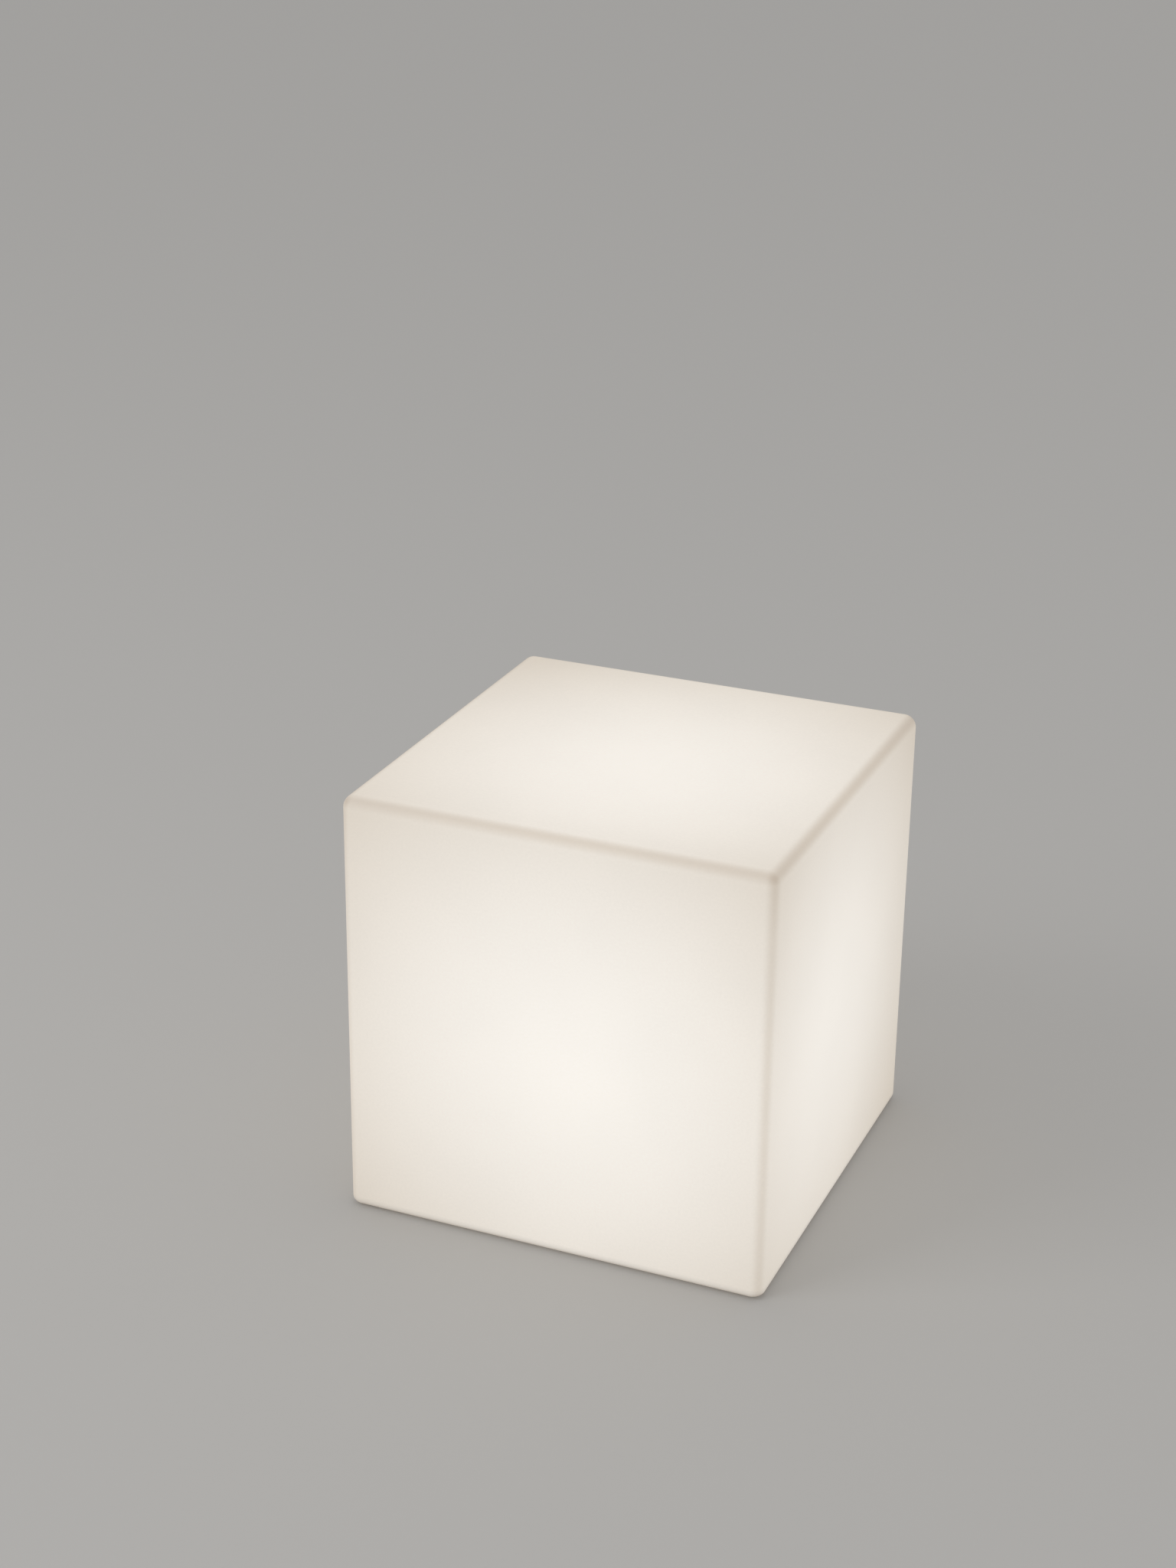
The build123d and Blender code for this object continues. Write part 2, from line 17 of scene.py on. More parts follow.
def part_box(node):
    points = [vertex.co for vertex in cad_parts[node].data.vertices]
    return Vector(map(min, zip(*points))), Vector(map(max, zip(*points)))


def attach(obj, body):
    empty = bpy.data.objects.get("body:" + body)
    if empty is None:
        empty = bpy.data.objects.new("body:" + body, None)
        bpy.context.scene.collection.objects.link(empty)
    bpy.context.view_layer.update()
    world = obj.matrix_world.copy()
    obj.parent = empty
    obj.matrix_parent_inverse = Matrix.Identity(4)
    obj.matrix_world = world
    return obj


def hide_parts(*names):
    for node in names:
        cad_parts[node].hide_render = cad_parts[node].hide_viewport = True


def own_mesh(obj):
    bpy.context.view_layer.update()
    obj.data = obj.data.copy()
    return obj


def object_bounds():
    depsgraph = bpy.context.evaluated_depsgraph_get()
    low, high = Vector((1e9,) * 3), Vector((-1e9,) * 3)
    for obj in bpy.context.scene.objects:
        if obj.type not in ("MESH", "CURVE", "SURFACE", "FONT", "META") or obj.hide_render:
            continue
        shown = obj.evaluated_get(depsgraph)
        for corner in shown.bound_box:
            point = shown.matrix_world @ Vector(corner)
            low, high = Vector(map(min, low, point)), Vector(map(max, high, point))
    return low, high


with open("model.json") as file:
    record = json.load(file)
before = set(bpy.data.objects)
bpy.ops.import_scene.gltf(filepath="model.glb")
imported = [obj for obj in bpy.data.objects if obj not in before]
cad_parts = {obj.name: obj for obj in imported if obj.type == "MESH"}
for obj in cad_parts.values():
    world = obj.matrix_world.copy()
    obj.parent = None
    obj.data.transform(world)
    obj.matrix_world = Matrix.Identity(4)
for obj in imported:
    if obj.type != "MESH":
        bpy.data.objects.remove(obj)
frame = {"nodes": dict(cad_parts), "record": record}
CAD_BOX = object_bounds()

bl_info = {
    "name": "Glowing Cube Lamp",
    "version": (1, 0, 0),
    "blender": (4, 5, 0),
    "location": "3D View > Sidebar > Cube Lamp",
    "description": "Builds the finishes and fine pieces of a glowing cube lamp round its solids",
    "category": "Object",
}

MM = 0.001
TURN = 2 * math.pi
QUARTER = math.pi / 2
TINY = 1e-9
CORNER_SHARE = 0.45  # the most of a short side that the curve at its corner takes
SQUEEZE = 0.7  # power that brings the points of a side closer together towards its corners
CHAMFER = math.tan(math.radians(30))  # rise of a hexagon's chamfer over its width
NOISE_SPAN = (0.3, 0.7)  # where nearly all values of a noise texture lie


# Forms: points and faces worked out as whole arrays


def even_angles(around):
    return np.linspace(0, TURN, around, endpoint=False)


def folded(angle):
    """Angle between a ray and the nearest axis."""
    return np.abs((angle + QUARTER / 2) % QUARTER - QUARTER / 2)


def directions(path):
    """Unit vectors along a path, one at each of its points."""
    run = np.gradient(path, axis=0)
    return run / np.linalg.norm(run, axis=1, keepdims=True)


def ring_form(rings, closed=False):
    """Surface through a stack of rings. Each quad joins two neighbours on one ring to the two on the next.

    An open stack is capped flat at both ends, and a closed one joins its last ring to its first.
    """
    rings = np.asarray(rings, float)
    index = np.arange(rings.shape[0] * rings.shape[1]).reshape(rings.shape[:2])
    lower = index if closed else index[:-1]
    upper = np.roll(index, -1, 0) if closed else index[1:]
    quads = np.stack([lower, np.roll(lower, -1, 1), np.roll(upper, -1, 1), upper], -1)
    faces = quads.reshape(-1, 4).tolist()
    if not closed:
        faces += [index[0, ::-1].tolist(), index[-1].tolist()]
    return rings.reshape(-1, 3), faces


def together(forms):
    """One form of several, each keeping its own faces."""
    points, faces = [], []
    for form_points, form_faces in forms:
        start = sum(len(p) for p in points)
        points.append(form_points)
        faces += [[start + corner for corner in face] for face in form_faces]
    return np.concatenate(points), faces


def placed(form, matrix):
    """A form carried by a 4 by 4 matrix."""
    points, faces = form
    turn = np.array(matrix)[:3, :3]
    shift = np.array(matrix)[:3, 3]
    return points @ turn.T + shift, faces


def shifted(form, x=0, y=0, z=0):
    return placed(form, Matrix.Translation((x, y, z)))


def softened(outline, reach, steps=4, closed=False):
    """Outline with each corner replaced by a quadratic curve.

    With A and B one reach before and after corner P, the curve is (1-t)^2 A + 2t(1-t) P + t^2 B.
    """
    outline = np.asarray(outline, float)
    before, after = np.roll(outline, 1, 0) - outline, np.roll(outline, -1, 0) - outline
    sizes = [np.linalg.norm(run, axis=1, keepdims=True) for run in (before, after)]
    cut = np.minimum(np.minimum(*sizes) * CORNER_SHARE, reach)
    start = outline + before / np.maximum(sizes[0], TINY) * cut
    end = outline + after / np.maximum(sizes[1], TINY) * cut
    t = np.linspace(0, 1, steps + 1)[None, :, None]
    curves = (1 - t) ** 2 * start[:, None] + 2 * t * (1 - t) * outline[:, None] + t**2 * end[:, None]
    if closed:
        return curves.reshape(-1, outline.shape[1])
    middle = curves[1:-1].reshape(-1, outline.shape[1])
    return np.concatenate([outline[:1], middle, outline[-1:]])


def turned_form(outline, around=64, closed=False):
    """Outline of (radius, height) pairs carried round the Z axis: x = r cos a, y = r sin a."""
    outline = np.asarray(outline, float)
    angle = even_angles(around)
    radius = outline[:, :1]
    height = np.broadcast_to(outline[:, 1:], (len(outline), around))
    return ring_form(np.stack([radius * np.cos(angle), radius * np.sin(angle), height], -1), closed)


def square_reach(half, corner, angle):
    """Distance from the centre to a rounded square's outline along a ray.

    Folded to the nearest axis, the ray meets the side at half / cos t. Past the side's end it meets the
    corner's circle, centred c = half - corner out on both axes, at c (cos t + sin t) + sqrt(corner^2 -
    c^2 (1 - sin 2t)). A corner as large as the half width makes a circle.
    """
    t, c = folded(angle), half - corner
    under_root = np.maximum(corner**2 - c**2 * (1 - np.sin(2 * t)), 0)
    arc = c * (np.cos(t) + np.sin(t)) + np.sqrt(under_root)
    return np.where(half * np.tan(t) <= c + TINY, half / np.cos(t), arc)


def square_rings(stations, angle):
    """One rounded-square ring for each (half width, corner radius, height) station."""
    half, corner, height = (column[:, None] for column in np.asarray(stations, float).T)
    reach = square_reach(half, corner, angle[None, :])
    height = np.broadcast_to(height, reach.shape)
    return np.stack([reach * np.cos(angle), reach * np.sin(angle), height], -1)


def square_angles(half, corner, side_points, corner_points):
    """Rays that spread along a rounded square's sides and evenly round its corners."""
    c = half - corner
    side = np.arctan2(c * np.linspace(0, 1, side_points, endpoint=False) ** SQUEEZE, half)
    bend = np.linspace(0, QUARTER / 2, corner_points)
    arc = np.arctan2(c + corner * np.sin(bend), c + corner * np.cos(bend))
    eighth = np.concatenate([side, arc])
    quarter = np.concatenate([-eighth[1:-1][::-1], eighth])
    return (quarter[None, :] + QUARTER * np.arange(4)[:, None]).ravel()


def soft_block(low, high, corner, edge, rim=0.0, recess=0.0, arc_points=5):
    """Upright block with rounded uprights, softer edges above and below, and a recess in its top if asked for.

    Each ring is a rounded rectangle: the corner arcs' centres stay put, and the arcs' radius is the corner's
    less edge (1 - sin f), while the height gains edge (1 - cos f) as f goes from 0 to a right angle. A recess
    adds two rings that are a rim further in, one at the top and one at the recess's floor.
    """
    low, high = np.asarray(low, float), np.asarray(high, float)
    centre, half = (low + high) / 2, (high - low) / 2
    f = np.linspace(0, QUARTER, arc_points)
    inset = edge * (1 - np.sin(f))
    rise = edge * (1 - np.cos(f))
    inset = np.concatenate([inset, inset[::-1]])
    height = np.concatenate([low[2] + rise, (high[2] - rise)[::-1]])
    if recess:
        inset = np.append(inset, [rim, rim])
        height = np.append(height, [high[2], high[2] - recess])
    bend = np.linspace(0, QUARTER, arc_points)
    angle = (bend[None, :] + QUARTER * np.arange(4)[:, None]).ravel()
    side_x = np.repeat([1, -1, -1, 1], arc_points)
    side_y = np.repeat([1, 1, -1, -1], arc_points)
    radius = (corner - inset)[:, None]
    x = centre[0] + side_x * (half[0] - corner) + radius * np.cos(angle)
    y = centre[1] + side_y * (half[1] - corner) + radius * np.sin(angle)
    return ring_form(np.stack([x, y, np.broadcast_to(height[:, None], x.shape)], -1))


def polar_rings(reach, height, angle):
    """Rings whose points lie a reach from the Z axis, at a height that may be one number for each ring."""
    reach = np.asarray(reach, float)
    height = np.broadcast_to(np.asarray(height, float).reshape(-1, 1), reach.shape)
    return np.stack([reach * np.cos(angle), reach * np.sin(angle), height], -1)


def hexagon_reach(flats, angle):
    """Distance from the centre to a hexagon's outline: half its flats over cos t, t from the side's middle."""
    return flats / 2 / np.cos(angle % (TURN / 6) - TURN / 12)


def hexagon_rings(flats, outline, around=48):
    """Rings of a hexagonal bar turned down to an outline of (radius, height): the lesser of the two reaches."""
    radius, height = np.asarray(outline, float).T
    angle = even_angles(around)
    return polar_rings(np.minimum(radius[:, None], hexagon_reach(flats, angle)[None, :]), height, angle)


def thread_rings(radius, depth, pitch, low, high, around=48, steps=6):
    """Rings of a threaded shank.

    The radius falls by depth times a triangle wave of height / pitch - angle / turn. The wave fades out over
    a pitch at both ends, and the tip narrows.
    """
    height = np.linspace(low, high, int(abs(high - low) / pitch * steps) + 1)[:, None]
    angle = even_angles(around)
    wave = np.abs((height / pitch - angle / TURN) % 1 * 2 - 1)
    from_head = np.clip(np.abs(height - low) / pitch, 0, 1)
    to_tip = np.clip(np.abs(high - height) / pitch, 0, 1)
    reach = radius - depth * wave * from_head * to_tip - depth * (1 - to_tip)
    return polar_rings(reach, height, angle)


def cross_reach(half_width, length, angle):
    """Distance from the centre to a cross's outline: half_width / sin t, at most the length of an arm."""
    return np.minimum(half_width / np.maximum(np.sin(folded(angle)), TINY), length)


def tube_form(path, radius, normal, around=16):
    """Round tube along a path in one plane: p + r (n cos a + b sin a), n the plane's normal and b = t x n."""
    path, normal = np.asarray(path, float), np.asarray(normal, float)
    angle = even_angles(around)[None, :, None]
    across = np.cross(directions(path), normal)[:, None, :]
    return ring_form(path[:, None, :] + radius * (normal * np.cos(angle) + across * np.sin(angle)))


def strip_form(path, thickness, width):
    """Bent strip along a path in the XZ plane: half its thickness each side of the path, half its width in Y."""
    path = np.asarray(path, float)
    out = directions(path)[:, ::-1] * [-thickness / 2, thickness / 2]
    upper, lower = path + out, path - out
    sides = [(upper, width / 2), (lower, width / 2), (lower, -width / 2), (upper, -width / 2)]
    return ring_form(np.stack([np.stack([p[:, 0], np.full(len(p), y), p[:, 1]], -1) for p, y in sides], 1))


def ring_places(radius, count, first=0.0, height=0.0):
    """Matrices that stand a form on a circle, turned to face outwards along its own X axis."""
    places = [Matrix.Rotation(first + TURN * n / count, 4, "Z") for n in range(count)]
    return [place @ Matrix.Translation((radius, 0, height)) for place in places]


def middle_of(name):
    """Centre of a solid's box in plan."""
    low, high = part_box(name)
    return (low.x + high.x) / 2, (low.y + high.y) / 2


# Pieces


def finish_of(slot):
    """The material of a slot, made the first time it is asked for."""
    name = f"{slot}_finish"
    return bpy.data.materials.get(name) or FINISHES[slot](name)


def make_piece(name, form, slot, body="lamp", stands_for=(), crease=40):
    """Turns a form into a piece that rides on a body and stands for its solids."""
    points, faces = form
    mesh = bpy.data.meshes.new(name)
    mesh.from_pydata(points, [], faces)
    shape = bmesh.new()
    shape.from_mesh(mesh)
    bmesh.ops.recalc_face_normals(shape, faces=shape.faces)
    shape.to_mesh(mesh)
    shape.free()
    mesh.shade_smooth()
    mesh.set_sharp_from_angle(angle=math.radians(crease))
    piece = bpy.data.objects.new(name, mesh)
    bpy.context.scene.collection.objects.link(piece)
    piece.data.materials.append(finish_of(slot))
    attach(piece, body)
    if stands_for:
        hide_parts(*stands_for)
    return piece


# Finishes


def node(tree, kind, inputs=None, **settings):
    """Adds a shader node. Settings go to its properties, inputs to its sockets, linked where one is a socket."""
    made = tree.nodes.new("ShaderNode" + kind)
    for key, value in settings.items():
        setattr(made, key, value)
    for key, value in (inputs or {}).items():
        if isinstance(value, bpy.types.NodeSocket):
            tree.links.new(value, made.inputs[key])
        else:
            made.inputs[key].default_value = value
    return made


def maths(tree, operation, first, second=0.0):
    return node(tree, "Math", {0: first, 1: second}, operation=operation).outputs[0]


def ranged(tree, value, start, end, first=0.0, last=1.0, kind="LINEAR"):
    """Value carried from the range start to end over to first to last, and held at the ends."""
    limits = {"From Min": start, "From Max": end, "To Min": first, "To Max": last}
    return node(tree, "MapRange", {"Value": value, **limits}, interpolation_type=kind).outputs[0]


def object_place(tree, **mapping):
    """The piece's own coordinates, moved and scaled by a Mapping node where one is asked for."""
    place = node(tree, "TexCoord").outputs["Object"]
    if not mapping:
        return place
    return node(tree, "Mapping", {"Vector": place, **mapping}).outputs[0]


def new_finish(name, colour, roughness, metallic=0.0, **even):
    """Principled material whose even values sit on the shader's own sockets."""
    material = bpy.data.materials.new(name)
    material.use_nodes = True
    tree = material.node_tree
    shader = tree.nodes["Principled BSDF"]
    shader.inputs["Base Color"].default_value = (*colour, 1)
    shader.inputs["Roughness"].default_value = roughness
    shader.inputs["Metallic"].default_value = metallic
    for key, value in even.items():
        shader.inputs[key.replace("_", " ")].default_value = value
    return material, tree, shader


def ramp(tree, factor, stops):
    """Colour ramp through (position, colour) stops."""
    made = node(tree, "ValToRGB", {"Fac": factor})
    for element, (position, colour) in zip(made.color_ramp.elements, stops, strict=True):
        element.position = position
        element.color = (*colour, 1)
    return made.outputs["Color"]


def bumped(tree, shader, height, distance, strength=1.0):
    """Bump from a height in the range 0 to 1, where distance is its depth in metres."""
    bump = node(tree, "Bump", {"Height": height, "Distance": distance, "Strength": strength})
    tree.links.new(bump.outputs["Normal"], shader.inputs["Normal"])


def shade(colour, factor):
    return tuple(channel * factor for channel in colour)


def glowing_polyethylene(name):
    """Translucent white polyethylene whose glow, the light of the lamp head inside, is painted into its emission
    colour.

    The painted glow falls evenly with the distance from glow_centre, by default a little to the front and right
    of the lamp head, from glow_near_colour at glow_near to glow_far_colour at glow_far. With u and v as how far
    the skin has gone into the rounds of two faces, eased from 0 to 1, an edge loses 2 u v of edge_loss, more of
    the blue than of the red, an upright edge the narrower 2 (u v)^1.5, and a corner adds up its edges: painted
    shade on the rounded edges. That painted shade grows to top_gain times as much at the top. The glow is also
    painted darker where the wall turns under at the floor, a painted shade along the floor. Noise stands for
    the wall's uneven thickness.
    """
    s = bpy.context.scene.cube_lamp_shell
    material, tree, shader = new_finish(name, s.skin_colour, s.skin_roughness, IOR=1.5)
    low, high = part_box("shell")
    place = object_place(tree)
    # Painted glow: a painted hot spot round glow_centre that dims with the distance from it
    away = node(tree, "VectorMath", {0: place, 1: s.glow_centre}, operation="SUBTRACT").outputs[0]
    away = node(tree, "VectorMath", {0: away}, operation="LENGTH").outputs["Value"]
    glow = ramp(tree, ranged(tree, away, s.glow_near, s.glow_far), [(0, s.glow_near_colour), (1, s.glow_far_colour)])

    x, y, z = node(tree, "SeparateXYZ", {0: place}).outputs
    # Painted shade on the rounded edges, taking more blue than red, heavier towards the top
    ease = "SMOOTHSTEP"
    u = ranged(tree, maths(tree, "ABSOLUTE", x), high.x - s.edge_radius, high.x, kind=ease)
    v = ranged(tree, maths(tree, "ABSOLUTE", y), high.y - s.edge_radius, high.y, kind=ease)
    above = ranged(tree, z, high.z - s.edge_radius, high.z, kind=ease)
    below = ranged(tree, z, low.z + s.base_radius, low.z, kind=ease)
    w = maths(tree, "MAXIMUM", above, below)
    upright, *level_edges = [maths(tree, "MULTIPLY", *pair) for pair in ((u, v), (v, w), (w, u))]
    loss = maths(tree, "ADD", maths(tree, "POWER", upright, 1.5), maths(tree, "ADD", *level_edges))
    loss = maths(tree, "MULTIPLY", loss, ranged(tree, z, high.z - s.top_reach, high.z, 1.0, s.top_gain))
    taken = {0: loss, 1: tuple(-2 * channel for channel in s.edge_loss), 2: (1, 1, 1)}
    kept = node(tree, "VectorMath", taken, operation="MULTIPLY_ADD").outputs[0]
    glow = node(tree, "VectorMath", {0: glow, 1: kept}, operation="MULTIPLY").outputs[0]

    # Painted shade where the wall turns under at the floor, then the noise of the wall's uneven thickness
    level = ranged(tree, z, low.z, low.z + s.floor_fade, s.floor_glow, 1.0)
    for scale, depth in ((s.cloud_scale, s.cloudiness), (s.speckle_scale, s.speckle)):
        noise = node(tree, "TexNoise", {"Vector": place, "Scale": scale, "Detail": 2.0}).outputs[0]
        level = maths(tree, "MULTIPLY", level, ranged(tree, noise, *NOISE_SPAN, 1 - depth, 1 + depth))
    glow = node(tree, "VectorMath", {0: glow, "Scale": level}, operation="SCALE").outputs[0]
    tree.links.new(glow, shader.inputs["Emission Color"])
    shader.inputs["Emission Strength"].default_value = 1.0

    grain = node(tree, "TexNoise", {"Vector": place, "Scale": 900.0, "Detail": 3.0}).outputs[0]
    peel = node(tree, "TexNoise", {"Vector": place, "Scale": 160.0, "Detail": 1.0}).outputs[0]
    bumped(tree, shader, maths(tree, "ADD", grain, maths(tree, "MULTIPLY", peel, 2.0)), s.grain_depth)
    return material


def moulded(colour, roughness, depth=0.03 * MM, scale=1400.0):
    """Finish of a spark-eroded moulding: fine pits, with the colour painted a touch darker in them as painted shade,
    and a tone that also differs at random with a wider noise.
    """

    def finish(name):
        material, tree, shader = new_finish(name, colour, roughness, IOR=1.5)
        place = object_place(tree)
        pits = node(tree, "TexNoise", {"Vector": place, "Scale": scale, "Detail": 4.0}).outputs[0]
        flow = node(tree, "TexNoise", {"Vector": place, "Scale": 30.0, "Detail": 2.0}).outputs[0]
        mix = maths(tree, "ADD", maths(tree, "MULTIPLY", pits, 0.5), maths(tree, "MULTIPLY", flow, 0.5))
        # Painted shade in the pits, mixed half and half with random tone from the wider noise
        tone = ramp(tree, mix, [(0.3, shade(colour, 0.88)), (0.7, colour)])
        tree.links.new(tone, shader.inputs["Base Color"])
        tree.links.new(ranged(tree, flow, 0, 1, roughness - 0.06, roughness + 0.06), shader.inputs["Roughness"])
        bumped(tree, shader, pits, depth)
        return material

    return finish


def worked_metal(colour, roughness, stretch, depth=0.01 * MM):
    """Finish of drawn or turned metal: noise pulled out along one axis makes the drawing lines."""

    def finish(name):
        material, tree, shader = new_finish(name, colour, roughness, 1.0)
        lines = node(tree, "TexNoise", {"Vector": object_place(tree, Scale=stretch), "Scale": 1.0, "Detail": 5.0})
        lines = lines.outputs[0]
        tone = ramp(tree, lines, [(0.3, shade(colour, 0.88)), (0.7, colour)])
        tree.links.new(tone, shader.inputs["Base Color"])
        tree.links.new(ranged(tree, lines, 0, 1, roughness - 0.1, roughness + 0.12), shader.inputs["Roughness"])
        bumped(tree, shader, lines, depth)
        return material

    return finish


def soft_rubber(colour, roughness):
    """Finish of rubber or silicone: a dull skin with dust held in its pores."""

    def finish(name):
        material, tree, shader = new_finish(name, colour, roughness, IOR=1.45)
        place = object_place(tree)
        pores = node(tree, "TexNoise", {"Vector": place, "Scale": 2200.0, "Detail": 3.0}).outputs[0]
        dust = node(tree, "TexNoise", {"Vector": place, "Scale": 120.0, "Detail": 6.0, "Roughness": 0.7}).outputs[0]
        pale = tuple(channel * 0.8 + 0.08 for channel in colour)
        tone = ramp(tree, dust, [(0.35, colour), (0.75, pale)])
        tree.links.new(tone, shader.inputs["Base Color"])
        bumped(tree, shader, pores, 0.04 * MM)
        return material

    return finish


def printed_board(mask, copper, cells=110.0, tracks=900.0):
    """Finish of a circuit board: square patches of parallel tracks under the mask.

    Each patch's random colour picks whether its tracks run along X or Y, and whether it has any. A track is
    where the fraction of tracks x or tracks y is small.
    """

    def finish(name):
        material, tree, shader = new_finish(name, mask, 0.35, IOR=1.5)
        place = object_place(tree)
        patch = {"Vector": place, "Scale": cells, "Randomness": 0.5}
        patch = node(tree, "TexVoronoi", patch, distance="CHEBYCHEV").outputs["Color"]
        along, used, _ = node(tree, "SeparateColor", {0: patch}).outputs
        x, y, _ = node(tree, "SeparateXYZ", {0: place}).outputs
        across = maths(tree, "GREATER_THAN", along, 0.5)
        either = node(tree, "Mix", {0: across, 2: x, 3: y}).outputs[0]
        line = maths(tree, "FRACT", maths(tree, "MULTIPLY", either, tracks))
        line = maths(tree, "LESS_THAN", line, 0.35)
        line = maths(tree, "MULTIPLY", line, maths(tree, "GREATER_THAN", used, 0.45))
        tree.links.new(ramp(tree, line, [(0.4, mask), (0.6, copper)]), shader.inputs["Base Color"])
        bumped(tree, shader, line, 0.02 * MM, 0.6)
        return material

    return finish


def lit(colour, strength, scale=600.0):
    """Finish of something that gives light itself, very slightly uneven."""

    def finish(name):
        material, tree, shader = new_finish(name, shade(colour, 0.6), 0.4, IOR=1.5)
        uneven = node(tree, "TexNoise", {"Vector": object_place(tree), "Scale": scale, "Detail": 1.0}).outputs[0]
        tone = ramp(tree, uneven, [(0.2, shade(colour, 0.93)), (0.8, colour)])
        tree.links.new(tone, shader.inputs["Emission Color"])
        shader.inputs["Emission Strength"].default_value = strength
        return material

    return finish


def clear_rod(name):
    """Polished clear plastic with a faint haze."""
    material, tree, shader = new_finish(name, (0.85, 0.9, 0.88), 0.08, IOR=1.49, Transmission_Weight=0.85)
    haze = node(tree, "TexNoise", {"Vector": object_place(tree), "Scale": 700.0, "Detail": 2.0}).outputs[0]
    tree.links.new(ranged(tree, haze, 0, 1, 0.05, 0.2), shader.inputs["Roughness"])
    return material


def shrink_sleeve(name):
    """Finish of a cell's shrunk sleeve: glossy, with faint rings where it gripped the can."""
    colour = (0.05, 0.16, 0.36)
    material, tree, shader = new_finish(name, colour, 0.22, IOR=1.5)
    wave = {"Vector": object_place(tree), "Scale": 60.0, "Distortion": 6.0, "Detail": 3.0}
    rings = node(tree, "TexWave", wave, bands_direction="Y").outputs["Fac"]
    tone = ramp(tree, rings, [(0.2, shade(colour, 0.95)), (0.8, colour)])
    tree.links.new(tone, shader.inputs["Base Color"])
    bumped(tree, shader, rings, 0.02 * MM, 0.12)
    return material


FINISHES = {
    "polyethylene": glowing_polyethylene,
    "housing_plastic": moulded((0.55, 0.55, 0.54), 0.5),
    "white_plastic": moulded((0.82, 0.82, 0.8), 0.35, 0.01 * MM),
    "dark_plastic": moulded((0.022, 0.022, 0.024), 0.42),
    "clear_plastic": clear_rod,
    "brass": worked_metal((0.66, 0.46, 0.17), 0.3, (900, 900, 90)),
    "steel": worked_metal((0.56, 0.55, 0.53), 0.3, (700, 700, 120)),
    "nickel": worked_metal((0.62, 0.6, 0.55), 0.32, (60, 900, 900)),
    "aluminium": worked_metal((0.74, 0.75, 0.76), 0.34, (900, 900, 40)),
    "silicone": soft_rubber((0.32, 0.33, 0.34), 0.55),
    "rubber": soft_rubber((0.018, 0.018, 0.019), 0.75),
    "circuit_board": printed_board((0.012, 0.1, 0.04), (0.03, 0.17, 0.07)),
    "lamp_board": printed_board((0.78, 0.78, 0.76), (0.7, 0.7, 0.68), 70.0, 500.0),
    "opal": lit((1.0, 0.95, 0.86), 0.4),
    "lit_led": lit((1.0, 0.9, 0.66), 0.48, 1500.0),
    "wire_insulation": moulded((0.42, 0.02, 0.015), 0.38, 0.01 * MM),
    "cell_wrap": shrink_sleeve,
}


# Sizes and colours that a user would change


